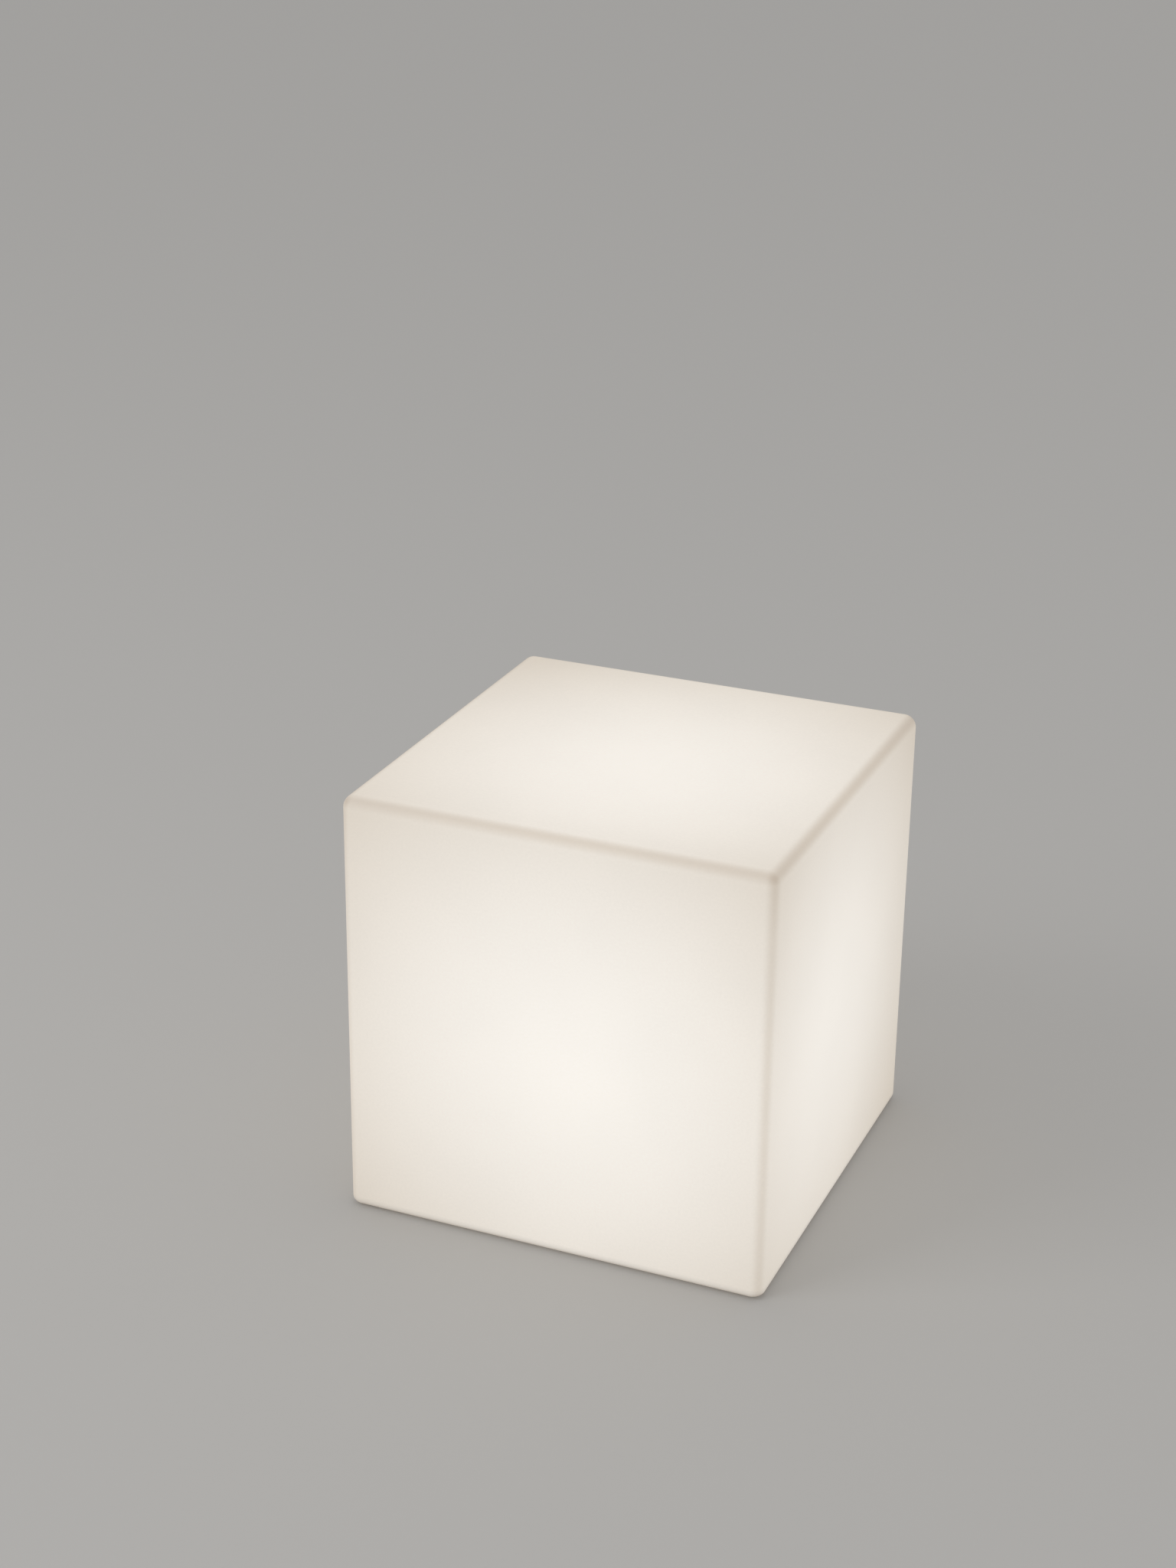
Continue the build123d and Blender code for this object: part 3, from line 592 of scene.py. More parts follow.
class ShellSettings(PropertyGroup):
    edge_radius: FloatProperty(
        name="Edge radius", description="Round of the top and upright edges", default=0.012, unit="LENGTH"
    )
    base_radius: FloatProperty(
        name="Base radius", description="Round of the edges along the floor", default=0.006, unit="LENGTH"
    )
    wall: FloatProperty(name="Wall", description="Thickness of the moulding", default=0.004, unit="LENGTH")
    rim_width: FloatProperty(
        name="Rim width", description="Flat rim round the dished underside", default=0.032, unit="LENGTH"
    )
    dish_depth: FloatProperty(
        name="Dish depth", description="Depth of the dished underside", default=0.003, unit="LENGTH"
    )
    dish_corner: FloatProperty(
        name="Dish corner", description="Corner radius of the dish at the rim", default=0.014, unit="LENGTH"
    )
    opening_radius: FloatProperty(
        name="Opening radius", description="Hole that the light module's cup enters", default=0.075, unit="LENGTH"
    )
    seat_radius: FloatProperty(
        name="Seat radius", description="Radius of the module's seat", default=0.095, unit="LENGTH"
    )
    seat_depth: FloatProperty(
        name="Seat depth", description="Seat above the underside", default=0.014, unit="LENGTH"
    )
    well_draft: FloatProperty(
        name="Well draft", description="Widening of the well towards its mouth", default=0.002, unit="LENGTH"
    )
    lip_softness: FloatProperty(
        name="Lip softness", description="Softening of the small edges below", default=0.0012, unit="LENGTH"
    )
    round_steps: IntProperty(name="Round steps", description="Rings across each rounded edge", default=10, min=3)
    side_points: IntProperty(name="Side points", description="Points along half of a side", default=14, min=3)
    skin_colour: FloatVectorProperty(
        name="Skin colour", description="Colour of the unlit skin", subtype="COLOR", default=(0.45, 0.442, 0.428)
    )
    skin_roughness: FloatProperty(name="Skin roughness", description="Satin of the skin", default=0.48)
    grain_depth: FloatProperty(
        name="Grain depth", description="Depth of the skin's grain", default=0.00002, unit="LENGTH"
    )
    # Painted glow of the shell: the painted hot spot's centre, reach and colours
    glow_centre: FloatVectorProperty(
        name="Glow centre", description="Place that the glow spreads from", subtype="XYZ",
        unit="LENGTH", default=(0.0226, -0.0342, 0.2004),
    )
    glow_near: FloatProperty(
        name="Glow near", description="Distance up to which the skin is brightest", default=0.15, unit="LENGTH"
    )
    glow_far: FloatProperty(
        name="Glow far", description="Distance of the dimmest skin", default=0.36, unit="LENGTH"
    )
    glow_near_colour: FloatVectorProperty(
        name="Near glow", description="Glow nearest to the lamp head", subtype="COLOR",
        default=(0.629, 0.597, 0.55),
    )
    glow_far_colour: FloatVectorProperty(
        name="Far glow", description="Glow at the cube's corners", subtype="COLOR", default=(0.334, 0.274, 0.201)
    )
    # Painted shade of the glow on the rounded edges, and how it grows towards the top
    edge_loss: FloatVectorProperty(
        name="Edge loss", description="Share of the glow that is lost on a rounded edge", subtype="COLOR",
        default=(0.152, 0.19, 0.238),
    )
    top_gain: FloatProperty(
        name="Top gain", description="How many times as much of the glow is lost on the top edges", default=1.65
    )
    top_reach: FloatProperty(
        name="Top reach", description="Depth below the top over which that loss grows", default=0.06, unit="LENGTH"
    )
    # Painted shade of the glow along the floor and on the underside
    floor_fade: FloatProperty(
        name="Floor fade", description="Height over which the glow fades at the floor", default=0.009, unit="LENGTH"
    )
    floor_glow: FloatProperty(
        name="Floor glow", description="Share of the glow that is left on the underside", default=0.5
    )
    cloud_scale: FloatProperty(name="Cloud scale", description="Scale of the wide unevenness", default=9.0)
    cloudiness: FloatProperty(name="Cloudiness", description="Share of the wide unevenness", default=0.02)
    speckle_scale: FloatProperty(name="Speckle scale", description="Scale of the fine unevenness", default=420.0)
    speckle: FloatProperty(name="Speckle", description="Share of the fine unevenness", default=0.025)


class FootSettings(PropertyGroup):
    corner: FloatProperty(name="Corner", description="Round of a pad's corners", default=0.0025, unit="LENGTH")
    edge: FloatProperty(name="Edge", description="Softness of a pad's edges", default=0.0007, unit="LENGTH")


class FastenerSettings(PropertyGroup):
    bolt_circle: FloatProperty(
        name="Bolt circle", description="Radius that the flange bolts stand on", default=0.085, unit="LENGTH"
    )
    bolt_flats: FloatProperty(
        name="Bolt flats", description="Across the flats of a bolt's head", default=0.008, unit="LENGTH"
    )
    bolt_head: FloatProperty(name="Bolt head", description="Height of a bolt's head", default=0.003, unit="LENGTH")
    bolt_radius: FloatProperty(name="Bolt radius", description="Radius of a shank", default=0.0025, unit="LENGTH")
    insert_flats: FloatProperty(
        name="Insert flats", description="Across the flats of a brass insert", default=0.008, unit="LENGTH"
    )
    boss_wall: FloatProperty(
        name="Boss wall", description="Plastic round and over an insert", default=0.003, unit="LENGTH"
    )
    screw_circle: FloatProperty(
        name="Screw circle", description="Radius that the cover's screws stand on", default=0.063, unit="LENGTH"
    )
    screw_radius: FloatProperty(name="Screw radius", description="Radius of a shank", default=0.0015, unit="LENGTH")
    screw_head_radius: FloatProperty(
        name="Screw head radius", description="Radius of a pan head", default=0.00275, unit="LENGTH"
    )
    screw_head: FloatProperty(name="Screw head", description="Height of a pan head", default=0.0018, unit="LENGTH")


class ControlSettings(PropertyGroup):
    cap_radius: FloatProperty(name="Cap radius", description="Radius of the button", default=0.0077, unit="LENGTH")
    lip_height: FloatProperty(
        name="Lip height", description="Height of the button's retaining lip", default=0.0015, unit="LENGTH"
    )
    dish: FloatProperty(name="Dish", description="Hollow in the button's face", default=0.0005, unit="LENGTH")
    sleeve_wall: FloatProperty(name="Sleeve wall", description="Wall of the sleeve", default=0.0008, unit="LENGTH")
    sleeve_waist: FloatProperty(
        name="Sleeve waist", description="Narrowing of the sleeve's middle", default=0.0006, unit="LENGTH"
    )
    jack_bore: FloatProperty(name="Jack bore", description="Radius of the jack's bore", default=0.00315, unit="LENGTH")
    jack_pin: FloatProperty(name="Jack pin", description="Radius of the centre pin", default=0.00105, unit="LENGTH")


class LampHeadSettings(PropertyGroup):
    sides: IntProperty(name="Sides", description="Light boards round the heat sink", default=6)
    rows: IntProperty(name="Rows", description="Light packages up each board", default=4)
    pitch: FloatProperty(name="Pitch", description="From package to package", default=0.013, unit="LENGTH")
    board_reach: FloatProperty(
        name="Board reach", description="Axis to the face of a side board", default=0.0226, unit="LENGTH"
    )
    top_circle: FloatProperty(
        name="Top circle", description="Radius that the top packages stand on", default=0.012, unit="LENGTH"
    )
    package: FloatProperty(name="Package", description="Side of a light package", default=0.005, unit="LENGTH")
    package_height: FloatProperty(
        name="Package height", description="Height of a light package", default=0.0012, unit="LENGTH"
    )
    diffuser_wall: FloatProperty(
        name="Diffuser wall", description="Wall of the opal diffuser", default=0.002, unit="LENGTH"
    )


class ElectricSettings(PropertyGroup):
    cap_radius: FloatProperty(name="Cell cap radius", description="Raised cap of a cell", default=0.003, unit="LENGTH")
    cap_height: FloatProperty(name="Cell cap height", description="Rise of a cell's cap", default=0.001, unit="LENGTH")
    plug_size: FloatVectorProperty(
        name="Plug size", description="A wire connector", subtype="XYZ", unit="LENGTH", default=(0.0075, 0.006, 0.006)
    )
    chip_size: FloatVectorProperty(
        name="Chip size", description="A chip with its legs", subtype="XYZ", unit="LENGTH",
        default=(0.005, 0.006, 0.0016),
    )
    lead_radius: FloatProperty(name="Lead radius", description="Radius of a thin wire", default=0.0008, unit="LENGTH")
    cable_radius: FloatProperty(
        name="Cable radius", description="Radius of the lamp head's cable", default=0.002, unit="LENGTH"
    )
    cable_bend: FloatProperty(
        name="Cable bend", description="Reach of the cable's bends", default=0.008, unit="LENGTH"
    )


class StageSettings(PropertyGroup):
    focal_length: FloatProperty(name="Focal length", description="Lens of the camera in mm", default=62.37)
    camera_place: FloatVectorProperty(
        name="Camera place", description="Where the camera stands", subtype="XYZ", unit="LENGTH",
        default=(0.8241, -2.0987, 1.3246),
    )
    camera_bearing: FloatProperty(
        name="Bearing", description="Turn of the view to the left of +Y", subtype="ANGLE", default=math.radians(22.63)
    )
    camera_dip: FloatProperty(
        name="Dip", description="Angle of the view below the horizon", subtype="ANGLE", default=math.radians(22.83)
    )
    camera_roll: FloatProperty(
        name="Roll", description="Turn of the camera about its view", subtype="ANGLE", default=math.radians(0.68)
    )
    floor_size: FloatProperty(name="Floor size", description="Side of the floor", default=60.0, unit="LENGTH")
    floor_drop: FloatProperty(
        name="Floor drop", description="Hair's breadth between the feet and the floor", default=0.0001, unit="LENGTH"
    )
    floor_passes: FloatProperty(
        name="Floor passes", description="Share of the light that the floor lets up from below", default=0.5
    )
    floor_colour: FloatVectorProperty(
        name="Floor colour", description="Pale grey of the floor", subtype="COLOR", default=(0.5, 0.49, 0.475)
    )
    backdrop_colour: FloatVectorProperty(
        name="Backdrop colour", description="Colour of the far floor, past its end", subtype="COLOR",
        default=(0.36, 0.353, 0.342),
    )
    sky_strength: FloatProperty(name="Sky strength", description="Even light from all round", default=0.72)
    key_watts: FloatProperty(name="Key light", description="Power of the soft lamp at the left", default=26.0)
    top_watts: FloatProperty(name="Top light", description="Power of the soft lamp overhead", default=1.5)


# Operators, one for each piece or group of like pieces


class MakeShell(Operator):
    """Rounded hollow cube whose skin runs in through the round opening underneath"""

    bl_idname = "cube_lamp.make_shell"
    bl_label = "Shell"

    def stations(self, s):
        """Half width, corner radius and height of each ring.

        They run from the middle of the top down the outside, in across the dish and the well, through the
        opening and up the inner side. A round of radius q moves the half width by q cos f and the height by
        q sin f, and the corner radius shrinks with the half width.
        """
        low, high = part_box("shell")
        half, bottom, top = (high.x - low.x) / 2, low.z, high.z
        f = np.linspace(0, QUARTER, s.round_steps + 1)
        edge, base = s.edge_radius, s.base_radius
        support = 0.0015
        over = [(0.02, 0.01, top), (half - edge - support, 0.002, top)]
        upper = np.stack(
            [half - edge + edge * np.sin(f), edge * np.sin(f), top - edge + edge * np.cos(f)], -1
        )
        middle = np.linspace(top - edge - support, bottom + base + support, 5)
        side = [(half, edge, height) for height in middle]
        lower = np.stack(
            [half - base + base * np.cos(f), edge - base + base * np.cos(f), bottom + base - base * np.sin(f)], -1
        )
        dish = half - s.rim_width
        floor, seat = bottom + s.dish_depth, bottom + s.seat_depth
        mouth = s.seat_radius + s.well_draft * (1 - s.dish_depth / s.seat_depth)
        ring = s.seat_radius + s.well_draft + s.wall
        inner, inner_corner = half - s.wall, edge - s.wall
        underside = [
            (half - base - support, edge - base, bottom),
            (dish, s.dish_corner, bottom),
            (dish - s.dish_depth, s.dish_corner - s.dish_depth, floor),
            (mouth, mouth, floor),
            (s.seat_radius, s.seat_radius, seat),
            (s.opening_radius, s.opening_radius, seat),
            (s.opening_radius, s.opening_radius, seat + s.wall),
            (ring, ring, seat + s.wall),
            (ring, ring, floor + s.wall),
            (dish - s.dish_depth, s.dish_corner - s.dish_depth, floor + s.wall),
            (dish, s.dish_corner, bottom + s.wall),
            (inner, inner_corner, bottom + s.wall),
            (inner, inner_corner, top - s.wall - inner_corner - support),
        ]
        within = np.stack(
            [
                inner - inner_corner + inner_corner * np.cos(f),
                inner_corner * np.cos(f),
                top - s.wall - inner_corner + inner_corner * np.sin(f),
            ],
            -1,
        )
        under = [(inner - inner_corner - support, 0.002, top - s.wall), (0.02, 0.01, top - s.wall)]
        return np.concatenate([over, upper, side, lower, softened(underside, s.lip_softness), within, under])

    def execute(self, context):
        s = context.scene.cube_lamp_shell
        low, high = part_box("shell")
        angle = square_angles((high.x - low.x) / 2, s.edge_radius, s.side_points, s.round_steps)
        form = ring_form(square_rings(self.stations(s), angle))
        make_piece("glowing_shell", form, "polyethylene", stands_for=("shell",), crease=50)
        self.bosses(context.scene.cube_lamp_fasteners)
        return {"FINISHED"}

    def bosses(self, s):
        """Hexagonal cups over the inserts, standing on the seat inside the shell."""
        low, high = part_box("flange_inserts")
        angle = even_angles(48)
        outer, foot, top = s.insert_flats + 2 * s.boss_wall, low.z + s.boss_wall, high.z + s.boss_wall
        rings = [(s.insert_flats, high.z), (s.insert_flats, foot), (outer, foot), (outer, top - 0.3 * MM)]
        rings += [(outer - 0.6 * MM, top)]
        stack = [polar_rings(hexagon_reach(flats, angle)[None, :], [z], angle)[0] for flats, z in rings]
        boss = ring_form(stack)
        bosses = together([placed(boss, place) for place in ring_places(s.bolt_circle, 4, QUARTER / 2)])
        make_piece("insert_bosses", bosses, "polyethylene", stands_for=("shell",), crease=30)


class MakeFeet(Operator):
    """Rubber pads with soft edges in the corners of the rim"""

    bl_idname = "cube_lamp.make_feet"
    bl_label = "Feet"

    def execute(self, context):
        s = context.scene.cube_lamp_feet
        for number in range(1, 5):
            low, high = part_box(f"pad_foot_{number}")
            form = soft_block(low, high, s.corner, s.edge)
            make_piece(f"rubber_foot_{number}", form, "rubber", stands_for=(f"pad_foot_{number}",))
        return {"FINISHED"}


class MakeFasteners(Operator):
    """Bolts, screws, inserts, nut, pin and vent with their chamfers, threads and recesses"""

    bl_idname = "cube_lamp.make_fasteners"
    bl_label = "Fasteners"

    def flange_bolts(self, s):
        """Hexagon head dished and chamfered below, then the threaded shank."""
        low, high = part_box("flange_bolts")
        corner, face = s.bolt_flats / math.sqrt(3), 0.47 * s.bolt_flats
        under = low.z + s.bolt_head
        outline = [
            (0.3 * MM, low.z + 0.4 * MM),
            (0.55 * face, low.z + 0.4 * MM),
            (0.7 * face, low.z),
            (face, low.z),
            (corner, low.z + (corner - face) * CHAMFER),
            (corner, under),
            (s.bolt_radius, under),
        ]
        head = hexagon_rings(s.bolt_flats, softened(outline, 0.15 * MM, 2), 72)
        shank = thread_rings(s.bolt_radius, 0.4 * MM, 0.8 * MM, under + 0.05 * MM, high.z, 72)
        bolt = ring_form(np.concatenate([head, shank]))
        bolts = together([placed(bolt, place) for place in ring_places(s.bolt_circle, 4, QUARTER / 2)])
        make_piece("flange_hex_bolts", bolts, "steel", stands_for=("flange_bolts",), crease=30)

    def inserts(self, s):
        """Hexagonal brass sleeves, chamfered at both ends."""
        low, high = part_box("flange_inserts")
        corner, face, bore = s.insert_flats / math.sqrt(3), 0.47 * s.insert_flats, s.bolt_radius + 0.02 * MM
        outline = [
            (bore, low.z),
            (face, low.z),
            (corner, low.z + 0.5 * MM),
            (corner, high.z - 0.5 * MM),
            (face, high.z),
            (bore, high.z),
        ]
        insert = ring_form(hexagon_rings(s.insert_flats, outline), closed=True)
        inserts = together([placed(insert, place) for place in ring_places(s.bolt_circle, 4, QUARTER / 2)])
        make_piece("brass_inserts", inserts, "brass", stands_for=("flange_inserts",), crease=30)

    def cover_screws(self, s):
        """Domed pan head with a cross recess, then the threaded shank."""
        low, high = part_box("cover_screws")
        angle = even_angles(48)
        under = high.z - s.screw_head
        recess = [
            polar_rings(cross_reach(0.25 * MM, 0.7 * MM, angle)[None, :], [high.z - 1.1 * MM], angle),
            polar_rings(cross_reach(0.35 * MM, 1.3 * MM, angle)[None, :], [high.z - 0.05 * MM], angle),
        ]
        f = np.linspace(0, QUARTER, 5)
        flat = s.screw_head_radius - 0.8 * MM
        reach = np.concatenate([flat + 0.8 * MM * np.sin(f), [s.screw_head_radius, s.screw_radius]])
        height = np.concatenate([high.z - 0.8 * MM * (1 - np.cos(f)), [under, under]])
        head = polar_rings(np.repeat(reach[:, None], 48, 1), height, angle)
        shank = thread_rings(s.screw_radius, 0.25 * MM, 0.5 * MM, under - 0.05 * MM, low.z)
        screw = ring_form(np.concatenate([*recess, head, shank]))
        screws = together([placed(screw, place) for place in ring_places(s.screw_circle, 3, -QUARTER)])
        make_piece("cover_pan_screws", screws, "steel", stands_for=("cover_screws",), crease=35)

    def jack_nut(self):
        """Thin hexagon nut, chamfered on both faces."""
        low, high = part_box("jack_nut")
        flats = high.y - low.y
        corner, face, bore = flats / math.sqrt(3), 0.48 * flats, 5.55 * MM
        slope = (corner - face) * CHAMFER
        outline = [(bore, low.z), (face, low.z), (corner, low.z + slope)]
        outline += [(corner, high.z - slope), (face, high.z), (bore, high.z)]
        nut = ring_form(hexagon_rings(flats, outline, 96), closed=True)
        make_piece("jack_hex_nut", shifted(nut, *middle_of("jack_nut")), "steel", stands_for=("jack_nut",), crease=30)

    def flap_pin(self):
        """Pin along X with domed ends."""
        low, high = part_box("flap_pin")
        radius, half = (high.z - low.z) / 2, (high.x - low.x) / 2
        f = np.linspace(0.1, QUARTER, 6)
        end = np.stack([radius * np.sin(f), half - 0.5 * radius * (1 - np.cos(f))], -1)
        pin = turned_form(np.concatenate([end, end[::-1] * [1, -1]]), 24)
        pin = placed(pin, Matrix.Translation((low + high) / 2) @ Matrix.Rotation(QUARTER, 4, "Y"))
        make_piece("hinge_pin", pin, "steel", stands_for=("flap_pin",))

    def vent_plug(self):
        """Hexagon head with a dished face, on a stem with a rounded tip."""
        low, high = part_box("vent_plug")
        flats = high.y - low.y
        corner, face, under = flats / math.sqrt(3), 0.45 * flats, low.z + 1.8 * MM
        outline = [
            (0.5 * MM, low.z + 0.5 * MM),
            (2.2 * MM, low.z + 0.5 * MM),
            (2.8 * MM, low.z),
            (face, low.z),
            (corner, low.z + 0.6 * MM),
            (corner, under),
            (3 * MM, under),
            (3 * MM, high.z - 0.5 * MM),
            (2.5 * MM, high.z),
        ]
        plug = ring_form(hexagon_rings(flats, softened(outline, 0.25 * MM, 3)))
        plug = shifted(plug, *middle_of("vent_plug"))
        make_piece("vent_breather", plug, "dark_plastic", stands_for=("vent_plug",), crease=30)

    def execute(self, context):
        s = context.scene.cube_lamp_fasteners
        self.flange_bolts(s)
        self.inserts(s)
        self.cover_screws(s)
        self.jack_nut()
        self.flap_pin()
        self.vent_plug()
        return {"FINISHED"}


class MakeSeals(Operator):
    """Gasket under the flange, seal on the port's flap and the button's return sleeve"""

    bl_idname = "cube_lamp.make_seals"
    bl_label = "Seals"

    def gasket(self):
        """Flat ring with rounded edges and a bead in the middle of each face."""
        low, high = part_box("flange_gasket")
        outer, inner = high.x, high.x - 4 * MM
        third, middle = (outer - inner) / 3, (outer + inner) / 2
        thin = 0.2 * MM
        outline = [(inner, low.z + thin), (inner + third, low.z + thin), (middle, low.z)]
        outline += [(outer - third, low.z + thin), (outer, low.z + thin), (outer, high.z - thin)]
        outline += [(outer - third, high.z - thin), (middle, high.z), (inner + third, high.z - thin)]
        outline += [(inner, high.z - thin)]
        ring = turned_form(softened(outline, 0.5 * MM, 3, closed=True), 160, closed=True)
        make_piece("beaded_gasket", ring, "silicone", stands_for=("flange_gasket",))

    def flap_seal(self):
        """Disc with a narrower rounded plug on it."""
        low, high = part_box("flap_seal")
        radius = (high.x - low.x) / 2
        outline = [(0.4 * MM, low.z), (radius, low.z), (radius, low.z + 1.3 * MM)]
        outline += [(radius - 0.6 * MM, low.z + 1.3 * MM), (radius - 0.8 * MM, high.z), (0.4 * MM, high.z)]
        seal = shifted(turned_form(softened(outline, 0.5 * MM), 48), *middle_of("flap_seal"))
        make_piece("flap_plug_seal", seal, "silicone", body="flap", stands_for=("flap_seal",))

    def return_sleeve(self, s):
        """Waisted sleeve: the outer radius is r - waist sin(pi t) as t goes from one end to the other."""
        low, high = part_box("return_sleeve")
        radius = (high.x - low.x) / 2
        t = np.linspace(0, 1, 13)
        height = low.z + (high.z - low.z) * t
        outer = np.stack([radius - s.sleeve_waist * np.sin(math.pi * t), height], -1)
        inner = outer[::-1] - [s.sleeve_wall, 0]
        x, y = middle_of("return_sleeve")
        form = shifted(turned_form(np.concatenate([outer, inner]), 48, closed=True), x, y)
        sleeve = make_piece("waisted_sleeve", form, "silicone", stands_for=("return_sleeve",))
        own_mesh(sleeve)

    def execute(self, context):
        self.gasket()
        self.flap_seal()
        self.return_sleeve(context.scene.cube_lamp_controls)
        return {"FINISHED"}


class MakeControls(Operator):
    """Power button, light pipe and charging jack"""

    bl_idname = "cube_lamp.make_controls"
    bl_label = "Controls"

    def button(self, s):
        """Cap with a dished face inside a raised rim, and its retaining lip, relieved where the switch is."""
        low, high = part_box("power_button")
        lip = (high.x - low.x) / 2
        t = np.linspace(0.03, 1, 8)
        dish = np.stack([t * 0.8 * s.cap_radius, low.z + s.dish * (1 - t**2)], -1)
        outline = [
            (0.86 * s.cap_radius, low.z),
            (s.cap_radius, low.z),
            (s.cap_radius, high.z - s.lip_height),
            (lip, high.z - s.lip_height),
            (lip, high.z),
            (4.5 * MM, high.z),
            (4.2 * MM, high.z - 0.1 * MM),
            (0.4 * MM, high.z - 0.1 * MM),
        ]
        outline = np.concatenate([dish, softened(outline, 0.6 * MM, 5)])
        form = shifted(turned_form(outline, 72), *middle_of("power_button"))
        make_piece("dished_button", form, "dark_plastic", body="button", stands_for=("power_button",))

    def light_pipe(self):
        """Clear rod with a domed face below."""
        low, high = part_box("light_pipe")
        radius = (high.x - low.x) / 2
        f = np.linspace(0.15, QUARTER, 7)
        dome = np.stack([radius * np.sin(f), low.z + 0.5 * MM * (1 - np.cos(f))], -1)
        outline = np.concatenate([dome, [(radius, high.z - 0.2 * MM), (radius - 0.2 * MM, high.z)]])
        form = shifted(turned_form(outline, 40), *middle_of("light_pipe"))
        make_piece("domed_light_pipe", form, "clear_plastic", stands_for=("light_pipe",))

    def jack(self, s):
        """Barrel with a flange and a bore, a bright centre pin and two solder tabs."""
        low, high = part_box("dc_jack")
        flange, barrel = (high.x - low.x) / 2, 5.5 * MM
        ceiling, back, bore_end = low.z + 1.5 * MM, high.z - 5 * MM, low.z + 10 * MM
        outline = [
            (s.jack_pin, bore_end),
            (s.jack_bore, bore_end),
            (s.jack_bore, low.z + 0.4 * MM),
            (s.jack_bore + 0.4 * MM, low.z),
            (flange, low.z),
            (flange, ceiling),
            (barrel, ceiling),
            (barrel, back),
            (s.jack_pin, back),
        ]
        place = middle_of("dc_jack")
        body = turned_form(softened(outline, 0.3 * MM, 3), 64)
        make_piece("jack_barrel", shifted(body, *place), "dark_plastic", stands_for=("dc_jack",))
        pin = [(0.3 * MM, low.z + 1 * MM), (0.6 * s.jack_pin, low.z + 1 * MM), (s.jack_pin, low.z + 1.5 * MM)]
        pin = turned_form(pin + [(s.jack_pin, back + 0.5 * MM)], 32)
        tab = strip_form([(0, back), (0, high.z - 0.2 * MM), (0, high.z)], 0.8 * MM, 4 * MM)
        tabs = [shifted(tab, side * 2.75 * MM) for side in (-1, 1)]
        make_piece("jack_contacts", shifted(together([pin, *tabs]), *place), "nickel", stands_for=("dc_jack",))

    def execute(self, context):
        s = context.scene.cube_lamp_controls
        self.button(s)
        self.light_pipe()
        self.jack(s)
        return {"FINISHED"}


class MakeLampHead(Operator):
    """Opal diffuser and the light packages inside it"""

    bl_idname = "cube_lamp.make_lamp_head"
    bl_label = "Lamp head"

    def diffuser(self, s):
        """Cup upside down, with a soft shoulder."""
        low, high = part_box("diffuser")
        outer, inner, under = high.x, high.x - s.diffuser_wall, high.z - s.diffuser_wall
        outline = [(0.5 * MM, high.z), (outer, high.z), (outer, low.z), (inner, low.z), (inner, under)]
        outline += [(0.5 * MM, under)]
        cup = turned_form(softened(outline, 3 * MM, 6), 96)
        make_piece("opal_diffuser", cup, "opal", stands_for=("diffuser",))

    def packages(self, s):
        """White frames with a round well, each holding a domed spot of phosphor."""
        angle = even_angles(40)
        half, well = s.package / 2, 0.38 * s.package
        stations = [(half, 0.1 * half, 0), (half, 0.1 * half, 0.9 * s.package_height)]
        stations += [(0.95 * half, 0.1 * half, s.package_height), (well, well, s.package_height)]
        stations += [(0.92 * well, 0.92 * well, 0.6 * s.package_height)]
        frame_form = ring_form(square_rings(stations, angle))
        t = np.linspace(0.05, 1, 5)
        dome = np.stack([0.92 * well * t, s.package_height * (0.9 - 0.2 * t**2)], -1)[::-1]
        dome_form = turned_form(np.concatenate([[(0.92 * well, 0.61 * s.package_height)], dome]), 24)
        low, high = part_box("side_leds")
        middle = (low.z + high.z) / 2
        stand = Matrix.Rotation(QUARTER, 4, "Y")
        rows = [middle + s.pitch * (row - (s.rows - 1) / 2) for row in range(s.rows)]
        places = [
            place @ stand
            for height in rows
            for place in ring_places(s.board_reach, s.sides, math.pi / s.sides, height)
        ]
        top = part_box("top_board")[1].z
        groups = {"side_leds": places, "top_leds": ring_places(s.top_circle, s.sides, 0.0, top)}
        for solid, places in groups.items():
            frames = together([placed(frame_form, place) for place in places])
            spots = together([placed(dome_form, place) for place in places])
            make_piece(f"{solid}_frames", frames, "lamp_board", stands_for=(solid,), crease=30)
            make_piece(f"{solid}_phosphor", spots, "lit_led", stands_for=(solid,))

    def execute(self, context):
        s = context.scene.cube_lamp_head
        self.diffuser(s)
        self.packages(s)
        return {"FINISHED"}


